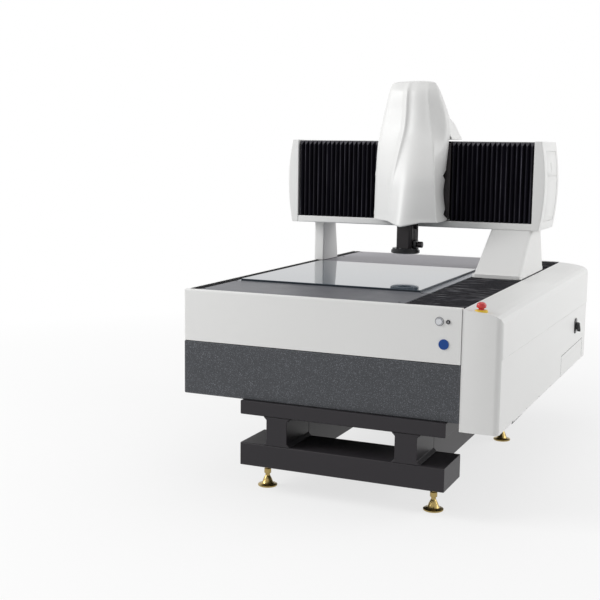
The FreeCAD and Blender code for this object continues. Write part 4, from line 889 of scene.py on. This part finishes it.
def makeBellows(name, node, finishes, fixedEnd, moving, along, down, across, width, folding, look):
    # along runs from the fixed end to the moving end, down from the crests to the valleys
    length = (moving - fixedEnd).length
    folds = max(4, round(length / folding["pitch"]))
    pitch = length / folds
    gusset = folding["gusset"]
    stations = 5 if folding["band"] else 3
    for index, (first, last) in enumerate(foldBands(folds, look["segments"])):
        line = foldProfile(first, last, pitch, folding)
        shape = bmesh.new()
        rows = []
        for distance, drop in line:
            top = fixedEnd + along * distance + down * drop
            low = top + down * look["skin"]
            reach = across * (width - (gusset if drop == 0 else 0))
            rows.append([shape.verts.new(point) for point in (top, top + reach, low + reach, low)])
        for number, (one, two) in enumerate(zip(rows[:-1], rows[1:])):
            for corner in range(4):
                following = (corner + 1) % 4
                face = shape.faces.new((one[corner], one[following], two[following], two[corner]))
                # crest faces take the second finish, the lighter crest cloth with painted highlight
                face.material_index = 0 if number % stations in (0, stations - 1) else 1
        shape.faces.new(rows[0][::-1])
        shape.faces.new(rows[-1])
        if gusset:
            for start in range(0, len(rows) - 1, 3):
                corners = [rows[start + step][1].co.copy() for step in range(4)]
                addGusset(shape, corners, across * look["skin"])
        piece = placePiece(f"{name}_{index:02d}", shape, finishes)
        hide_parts(node)
        centre = (first + last) / 2 * pitch
        share = centre / length
        turn = smoothInverse(share)
        window = 6 * turn * (1 - turn) * length
        start = fixedEnd + along * (centre - turn * window)
        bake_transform(piece)


def smoothInverse(share):
    # where the smooth step reaches a share of its rise
    return 0.5 - math.sin(math.asin(1 - 2 * share) / 3)


foldsY = {"pitch": 0.033, "depth": 0.019, "crest": 0.0020, "gusset": 0.0, "band": 0.0012}
foldsX = {"pitch": 0.027, "depth": 0.021, "crest": 0.0026, "gusset": 0.022, "band": 0.0}
yCloth = [makeClothFinish("deckFolds", clothLook, (3.0, 70.0, 70.0)),
          makeClothFinish("deckCrests", deckCrestLook, (9.0, 34.0, 34.0))]
xCloth = [makeClothFinish("beamFolds", clothLook, (70.0, 70.0, 2.5)),
          makeClothFinish("beamCrests", crestLook, (30.0, 30.0, 3.0)),
          makeClothFinish("beamGussets", gussetLook, (60.0, 60.0, 60.0))]

for side, node, fixedIsLow in (("front", "y_bellows_front", True), ("rear", "y_bellows_rear", False)):
    low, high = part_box(node)
    fixedY, movingY = (low.y, high.y) if fixedIsLow else (high.y, low.y)
    along = Vector((0, 1 if fixedIsLow else -1, 0))
    makeBellows("deckBellows_" + side, node, yCloth, Vector((low.x, fixedY, high.z)),
                Vector((low.x, movingY, high.z)), along, Vector((0, 0, -1)),
                Vector((1, 0, 0)), high.x - low.x, foldsY, bellowsLook)

for side, node, fixedIsLow in (("left", "x_bellows_left", True), ("right", "x_bellows_right", False)):
    low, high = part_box(node)
    fixedX, movingX = (low.x, high.x) if fixedIsLow else (high.x, low.x)
    along = Vector((1 if fixedIsLow else -1, 0, 0))
    makeBellows("beamBellows_" + side, node, xCloth, Vector((fixedX, low.y, low.z)),
                Vector((movingX, low.y, low.z)), along, Vector((0, 1, 0)),
                Vector((0, 0, 1)), high.z - low.z, foldsX, bellowsLook)
print("bellows folded")


# Sculpted head cover

headLook = {
    "centre": -0.0412, "rimNose": 1.182, "rimRidge": 1.206, "rimBack": 1.213, "rimSpan": 0.045,
    "back": 0.2765, "hoodBack": 0.3430, "hoodFrom": 1.650, "top": 1.950, "crown": 0.0145, "wall": 0.003,
    "notchHalf": 0.025, "notchDepth": 0.046, "notches": (1.244, 1.455), "rowStep": 0.011, "rowClear": 0.003,
    "hoodStep": 0.0002, "crownRings": (0.97, 0.88, 0.70, 0.42), "crownBack": 0.02,
}
headForm = {
    "height": (1.182, 1.350, 1.450, 1.600, 1.700, 1.800, 1.905, 1.950),
    "leftSide": (0.218, 0.219, 0.219, 0.219, 0.208, 0.190, 0.168, 0.156),
    "rightSide": (0.196, 0.168, 0.172, 0.186, 0.191, 0.176, 0.137, 0.108),
    "sideFront": (0.194, 0.203, 0.209, 0.228, 0.239, 0.247, 0.252, 0.262),
    "leftBack": (0.212, 0.213, 0.212, 0.210, 0.196, 0.172, 0.142, 0.126),
    "rightBack": (0.188, 0.162, 0.168, 0.181, 0.181, 0.154, 0.108, 0.080),
    "leftRidge": (0.098, 0.088, 0.076, 0.054, 0.042, 0.038, 0.038, 0.036),
    "rightRidge": (0.186, 0.168, 0.158, 0.136, 0.112, 0.094, 0.082, 0.070),
    "ridgeFront": (0.085, 0.092, 0.100, 0.146, 0.182, 0.196, 0.205, 0.234),
    "leftCrest": (0.001, 0.002, 0.005, 0.010, 0.012, 0.012, 0.010, 0.005),
    "rightCrest": (0.000, 0.000, 0.000, 0.001, 0.002, 0.002, 0.002, 0.001),
    "nose": (0.010, 0.020, 0.028, 0.032, 0.030, 0.026, 0.022, 0.018),
    "noseFront": (-0.034, 0.024, 0.056, 0.126, 0.168, 0.184, 0.196, 0.226),
}
sectionRounds = {"side": 0.030, "foot": 0.013, "crest": 0.009, "nose": 0.120, "steps": 6, "runs": 3,
                 "outerFoot": 0.026, "innerFoot": 0.018}


def smoothAt(name, height):
    # smooth curve through the values of one form line
    levels = headForm["height"]
    values = headForm[name]
    slopes = []
    for i in range(len(levels)):
        low, high = max(0, i - 1), min(len(levels) - 1, i + 1)
        slopes.append((values[high] - values[low]) / (levels[high] - levels[low]))
    place = 0
    while place < len(levels) - 2 and height > levels[place + 1]:
        place += 1
    span = levels[place + 1] - levels[place]
    t = min(max((height - levels[place]) / span, 0.0), 1.0)
    start, end = values[place], values[place + 1]
    return ((2 * t**3 - 3 * t**2 + 1) * start + (t**3 - 2 * t**2 + t) * span * slopes[place]
            + (3 * t**2 - 2 * t**3) * end + (t**3 - t**2) * span * slopes[place + 1])


def roundedLine(corners, rounds, steps, runs):
    # corners joined by straight runs, each inner corner rounded by its own length
    line = [corners[0]]
    for i in range(1, len(corners) - 1):
        before = corners[i - 1] - corners[i]
        after = corners[i + 1] - corners[i]
        start = corners[i] + before.normalized() * min(rounds[i], before.length * 0.46)
        end = corners[i] + after.normalized() * min(rounds[i], after.length * 0.46)
        previous = line[-1]
        for part in range(1, runs):
            line.append(previous.lerp(start, part / runs))
        for part in range(steps):
            t = part / (steps - 1)
            line.append(start * (1 - t)**2 + corners[i] * (2 * t * (1 - t)) + end * t**2)
    previous = line[-1]
    for part in range(1, runs + 1):
        line.append(previous.lerp(corners[-1], part / runs))
    return line


def headBack(height, look):
    # rear edge of the cover: over the beam at the top, notched for the folds below
    if height >= look["hoodFrom"]:
        return look["hoodBack"]
    cut = max(0.0, max(1 - abs(height - notch) / look["notchHalf"] for notch in look["notches"]))
    return look["back"] - look["notchDepth"] * cut


def headSection(height, look, rounds):
    form = {name: smoothAt(name, height) for name in headForm if name != "height"}
    back = headBack(height, look)
    front = form["ridgeFront"]
    nose = Vector((form["nose"], form["noseFront"]))
    corners = [Vector((-form["leftBack"], back))]
    bends = [0]
    for sign, side, ridge, crest in ((-1, "leftSide", "leftRidge", "leftCrest"),
                                     (1, "rightSide", "rightRidge", "rightCrest")):
        corner = Vector((sign * form[side], form["sideFront"]))
        top = Vector((sign * form[ridge], front))
        outer = top + (corner - top).normalized() * rounds["outerFoot"]
        inner = top + (nose - top).normalized() * rounds["innerFoot"]
        tip = top + Vector((0, -form[crest]))
        group = [corner, outer, tip, inner]
        turns = [rounds["side"], rounds["foot"], rounds["crest"], rounds["foot"]]
        if sign > 0:
            corners.append(nose)
            bends.append(rounds["nose"])
            group.reverse()
            turns.reverse()
        corners += group
        bends += turns
    corners.append(Vector((form["rightBack"], back)))
    bends.append(0)
    return roundedLine(corners, bends, rounds["steps"], rounds["runs"])


def headRows(look):
    # even rows, with rows of their own at the notches and where the hood begins
    count = round((look["top"] - look["rimNose"]) / look["rowStep"])
    rows = [look["rimNose"] + (look["top"] - look["rimNose"]) * i / count for i in range(count + 1)]
    marks = [look["hoodFrom"] - look["hoodStep"], look["hoodFrom"] + look["hoodStep"]]
    for notch in look["notches"]:
        marks += [notch - look["notchHalf"], notch, notch + look["notchHalf"]]
    kept = [row for row in rows if all(abs(row - mark) > look["rowClear"] for mark in marks)]
    return sorted(kept + marks)


def rimHeight(point, look):
    # keel of the lower rim: lowest under the nose, rising to the ridges and the back
    front = headForm["ridgeFront"][0]
    away = min(1.0, abs(point.x - headForm["nose"][0]) / headForm["leftRidge"][0])
    depth = min(1.0, max(0.0, (point.y - front) / (look["back"] - front)))
    rise = (look["rimRidge"] - look["rimNose"]) * away
    return look["rimNose"] + rise + (look["rimBack"] - look["rimRidge"]) * depth


def makeHeadCover(look, rounds):
    shape = bmesh.new()
    grid = []
    for height in headRows(look):
        row = []
        for point in headSection(height, look, rounds):
            z = height
            blendTop = look["rimNose"] + look["rimSpan"]
            if height < blendTop:
                rim = rimHeight(point, look)
                z = rim + (height - look["rimNose"]) / look["rimSpan"] * (blendTop - rim)
            row.append(shape.verts.new((look["centre"] + point.x, point.y, z)))
        grid.append((height, row))
    for (_, one), (_, two) in zip(grid[:-1], grid[1:]):
        for i in range(len(one) - 1):
            shape.faces.new((one[i], one[i + 1], two[i + 1], two[i]))
    hood = [row for height, row in grid if height > look["hoodFrom"]]
    for one, two in zip(hood[:-1], hood[1:]):
        shape.faces.new((one[-1], one[0], two[0], two[-1]))
    ring = topRow = grid[-1][1]
    middle = sum((vert.co for vert in ring), Vector()) / len(ring)
    middle.y += look["crownBack"]
    for scale in look["crownRings"]:
        lift = Vector((0, 0, look["crown"] * math.sqrt(1 - scale**2)))
        inner = [shape.verts.new(middle + (vert.co - middle) * scale + lift) for vert in topRow]
        for i in range(len(ring)):
            following = (i + 1) % len(ring)
            shape.faces.new((ring[i], ring[following], inner[following], inner[i]))
        ring = inner
    peak = shape.verts.new(middle + Vector((0, 0, look["crown"])))
    for i in range(len(ring)):
        shape.faces.new((ring[i], ring[(i + 1) % len(ring)], peak))
    piece = placePiece("headShell", shape, [whiteShell], 40)
    wall = piece.modifiers.new("wall", "SOLIDIFY")
    wall.thickness = look["wall"]
    wall.offset = -1.0
    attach(piece, "head")
    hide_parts("head_cover")


makeHeadCover(headLook, sectionRounds)
print("head cover shaped")


# Small fasteners

screwLook = {"radius": 0.0055, "height": 0.0022, "recess": 0.0026, "floor": 0.2, "sides": 20,
             "rearInset": 0.045, "frontInset": 0.030}
screwFinish = metalFinish("darkScrew", {"colour": (0.10, 0.10, 0.11, 1), "roughness": 0.35,
                                        "stretch": (400.0, 400.0, 400.0)})


def makeScrew(name, place, normal, body, look):
    # flat socket head: rim, chamfer and a six sided recess
    shape = bmesh.new()
    rings = []
    for radius, height, sides in ((look["radius"], 0.0, look["sides"]),
                                  (look["radius"], look["height"] * 0.7, look["sides"]),
                                  (look["radius"] * 0.88, look["height"], look["sides"])):
        ring = []
        for i in range(sides):
            angle = 2 * math.pi * i / sides
            ring.append(shape.verts.new((radius * math.cos(angle), radius * math.sin(angle), height)))
        rings.append(ring)
    for one, two in zip(rings[:-1], rings[1:]):
        joinRings(shape, one, two)
    socketTop = []
    socketLow = []
    for i in range(look["sides"]):
        angle = 2 * math.pi * i / look["sides"]
        sector = (angle % (math.pi / 3)) - math.pi / 6
        radius = look["recess"] * math.cos(math.pi / 6) / math.cos(sector)
        x, y = radius * math.cos(angle), radius * math.sin(angle)
        socketTop.append(shape.verts.new((x, y, look["height"])))
        socketLow.append(shape.verts.new((x, y, look["height"] * look["floor"])))
    joinRings(shape, rings[2], socketTop)
    joinRings(shape, socketTop, socketLow)
    shape.faces.new(socketLow)
    shape.faces.new(rings[0][::-1])
    piece = placePiece(name, shape, [screwFinish])
    turn = Vector((0, 0, 1)).rotation_difference(Vector(normal)).to_matrix().to_4x4()
    piece.matrix_world = Matrix.Translation(place) @ turn
    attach(piece, body)


def screwRow(name, node, inset, across, along, body):
    low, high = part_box(node)
    count = 0
    for i in range(across):
        for j in range(along):
            x = low.x + inset + (high.x - low.x - 2 * inset) * i / max(1, across - 1)
            y = low.y + inset + (high.y - low.y - 2 * inset) * j / max(1, along - 1)
            makeScrew(f"{name}_{count}", Vector((x, y, high.z - 0.0004)), (0, 0, 1), body, screwLook)
            count += 1


screwRow("deckRearScrew", "deck_rear_plate", screwLook["rearInset"], 2, 3, "base")
screwRow("deckFrontScrew", "deck_front_plate", screwLook["frontInset"], 2, 2, "base")
print("screws seated")


# Floor, light and camera

studio = {
    "floorColour": (0.86, 0.86, 0.86, 1), "floorSize": 60.0, "seenWhite": 1.0,
    "whiteFrom": 1.2, "whiteTo": 5.0, "whiteShare": 0.72,
    "worldStrength": 0.43, "lampTarget": (0, 0, 0.9),
    "keyLamp": {"place": (-5.0, -3.2, 3.8), "size": 3.0, "power": 250.0},
    "fillLamp": {"place": (5.2, 1.8, 3.2), "size": 3.5, "power": 125.0},
    "topLamp": {"place": (0.5, 1.0, 5.2), "size": 4.0, "power": 20.0},
}


def makeFloor(look):
    mesh = bpy.data.meshes.new("floor")
    half = look["floorSize"] / 2
    corners = [(-half, -half, 0), (half, -half, 0), (half, half, 0), (-half, half, 0)]
    mesh.from_pydata(corners, [], [(0, 1, 2, 3)])
    floor = bpy.data.objects.new("floor", mesh)
    bpy.context.scene.collection.objects.link(floor)
    finish, tree, shader = newFinish("paleFloor")
    shader.inputs["Base Color"].default_value = look["floorColour"]
    shader.inputs["Roughness"].default_value = 0.9
    path = addNode(tree, "ShaderNodeLightPath", (0, 300))
    seen = mathNode(tree, "MAXIMUM", (200, 300), path.outputs["Is Camera Ray"], path.outputs["Is Glossy Ray"])
    place = addNode(tree, "ShaderNodeTexCoord", (-800, 500))
    away = tree.nodes.new("ShaderNodeVectorMath")
    away.operation = "LENGTH"
    away.location = (-600, 500)
    wire(tree, place.outputs["Object"], away.inputs[0])
    paler = rangeNode(tree, (-400, 500), away.outputs["Value"], look["whiteFrom"], look["whiteTo"],
                      look["whiteShare"], 1.0)
    share = mathNode(tree, "MULTIPLY", (400, 300), seen, paler)
    glow = addNode(tree, "ShaderNodeEmission", (600, 250), Strength=look["seenWhite"])
    mixed = tree.nodes.new("ShaderNodeMixShader")
    mixed.location = (900, 100)
    wire(tree, share, mixed.inputs["Fac"])
    wire(tree, shader.outputs[0], mixed.inputs[1])
    wire(tree, glow.outputs[0], mixed.inputs[2])
    wire(tree, mixed.outputs[0], tree.nodes["Material Output"].inputs["Surface"])
    mesh.materials.append(finish)


def makeWorld(look):
    world = bpy.data.worlds.new("studio")
    bpy.context.scene.world = world
    world.use_nodes = True
    tree = world.node_tree
    ground = tree.nodes["Background"]
    ground.inputs["Color"].default_value = (1, 1, 1, 1)
    ground.inputs["Strength"].default_value = look["worldStrength"]
    seenGround = addNode(tree, "ShaderNodeBackground", (0, -200), Color=(1, 1, 1, 1),
                         Strength=look["seenWhite"])
    path = addNode(tree, "ShaderNodeLightPath", (-200, 300))
    seen = mathNode(tree, "MAXIMUM", (0, 300), path.outputs["Is Camera Ray"], path.outputs["Is Glossy Ray"])
    mixed = tree.nodes.new("ShaderNodeMixShader")
    mixed.location = (300, 0)
    wire(tree, seen, mixed.inputs["Fac"])
    wire(tree, ground.outputs[0], mixed.inputs[1])
    wire(tree, seenGround.outputs[0], mixed.inputs[2])
    wire(tree, mixed.outputs[0], tree.nodes["World Output"].inputs["Surface"])


def makeLamp(name, look):
    lamp = bpy.data.lights.new(name, "AREA")
    lamp.shape = "SQUARE"
    lamp.size = look[name]["size"]
    lamp.energy = look[name]["power"]
    holder = bpy.data.objects.new(name, lamp)
    bpy.context.scene.collection.objects.link(holder)
    holder.location = look[name]["place"]
    aim = Vector(look["lampTarget"]) - Vector(look[name]["place"])
    holder.rotation_mode = "QUATERNION"
    holder.rotation_quaternion = aim.to_track_quat("-Z", "Y")


makeFloor(studio)
makeWorld(studio)
for lampName in ("keyLamp", "fillLamp", "topLamp"):
    makeLamp(lampName, studio)

viewpoint = {
    "place": (1.79985, -5.4935, 1.593), "yaw": 0.4136, "pitch": -0.1396, "roll": 0.012,
    "focalPixels": 1080.85, "frameWidth": 600.0, "sensor": 36.0,
}


def makeCamera(view):
    forward = Vector((-math.sin(view["yaw"]) * math.cos(view["pitch"]),
                      math.cos(view["yaw"]) * math.cos(view["pitch"]), math.sin(view["pitch"])))
    level = Vector((math.cos(view["yaw"]), math.sin(view["yaw"]), 0))
    upright = level.cross(forward)
    side = math.cos(view["roll"]) * level + math.sin(view["roll"]) * upright
    top = -math.sin(view["roll"]) * level + math.cos(view["roll"]) * upright
    turn = Matrix((side, top, -forward)).transposed().to_4x4()
    lens = bpy.data.cameras.new("camera")
    lens.sensor_width = view["sensor"]
    lens.lens = view["focalPixels"] / view["frameWidth"] * view["sensor"]
    lens.clip_end = 100
    holder = bpy.data.objects.new("camera", lens)
    bpy.context.scene.collection.objects.link(holder)
    holder.matrix_world = Matrix.Translation(view["place"]) @ turn
    bpy.context.scene.camera = holder


makeCamera(viewpoint)
bpy.context.scene.view_settings.view_transform = "Standard"
print("studio set")
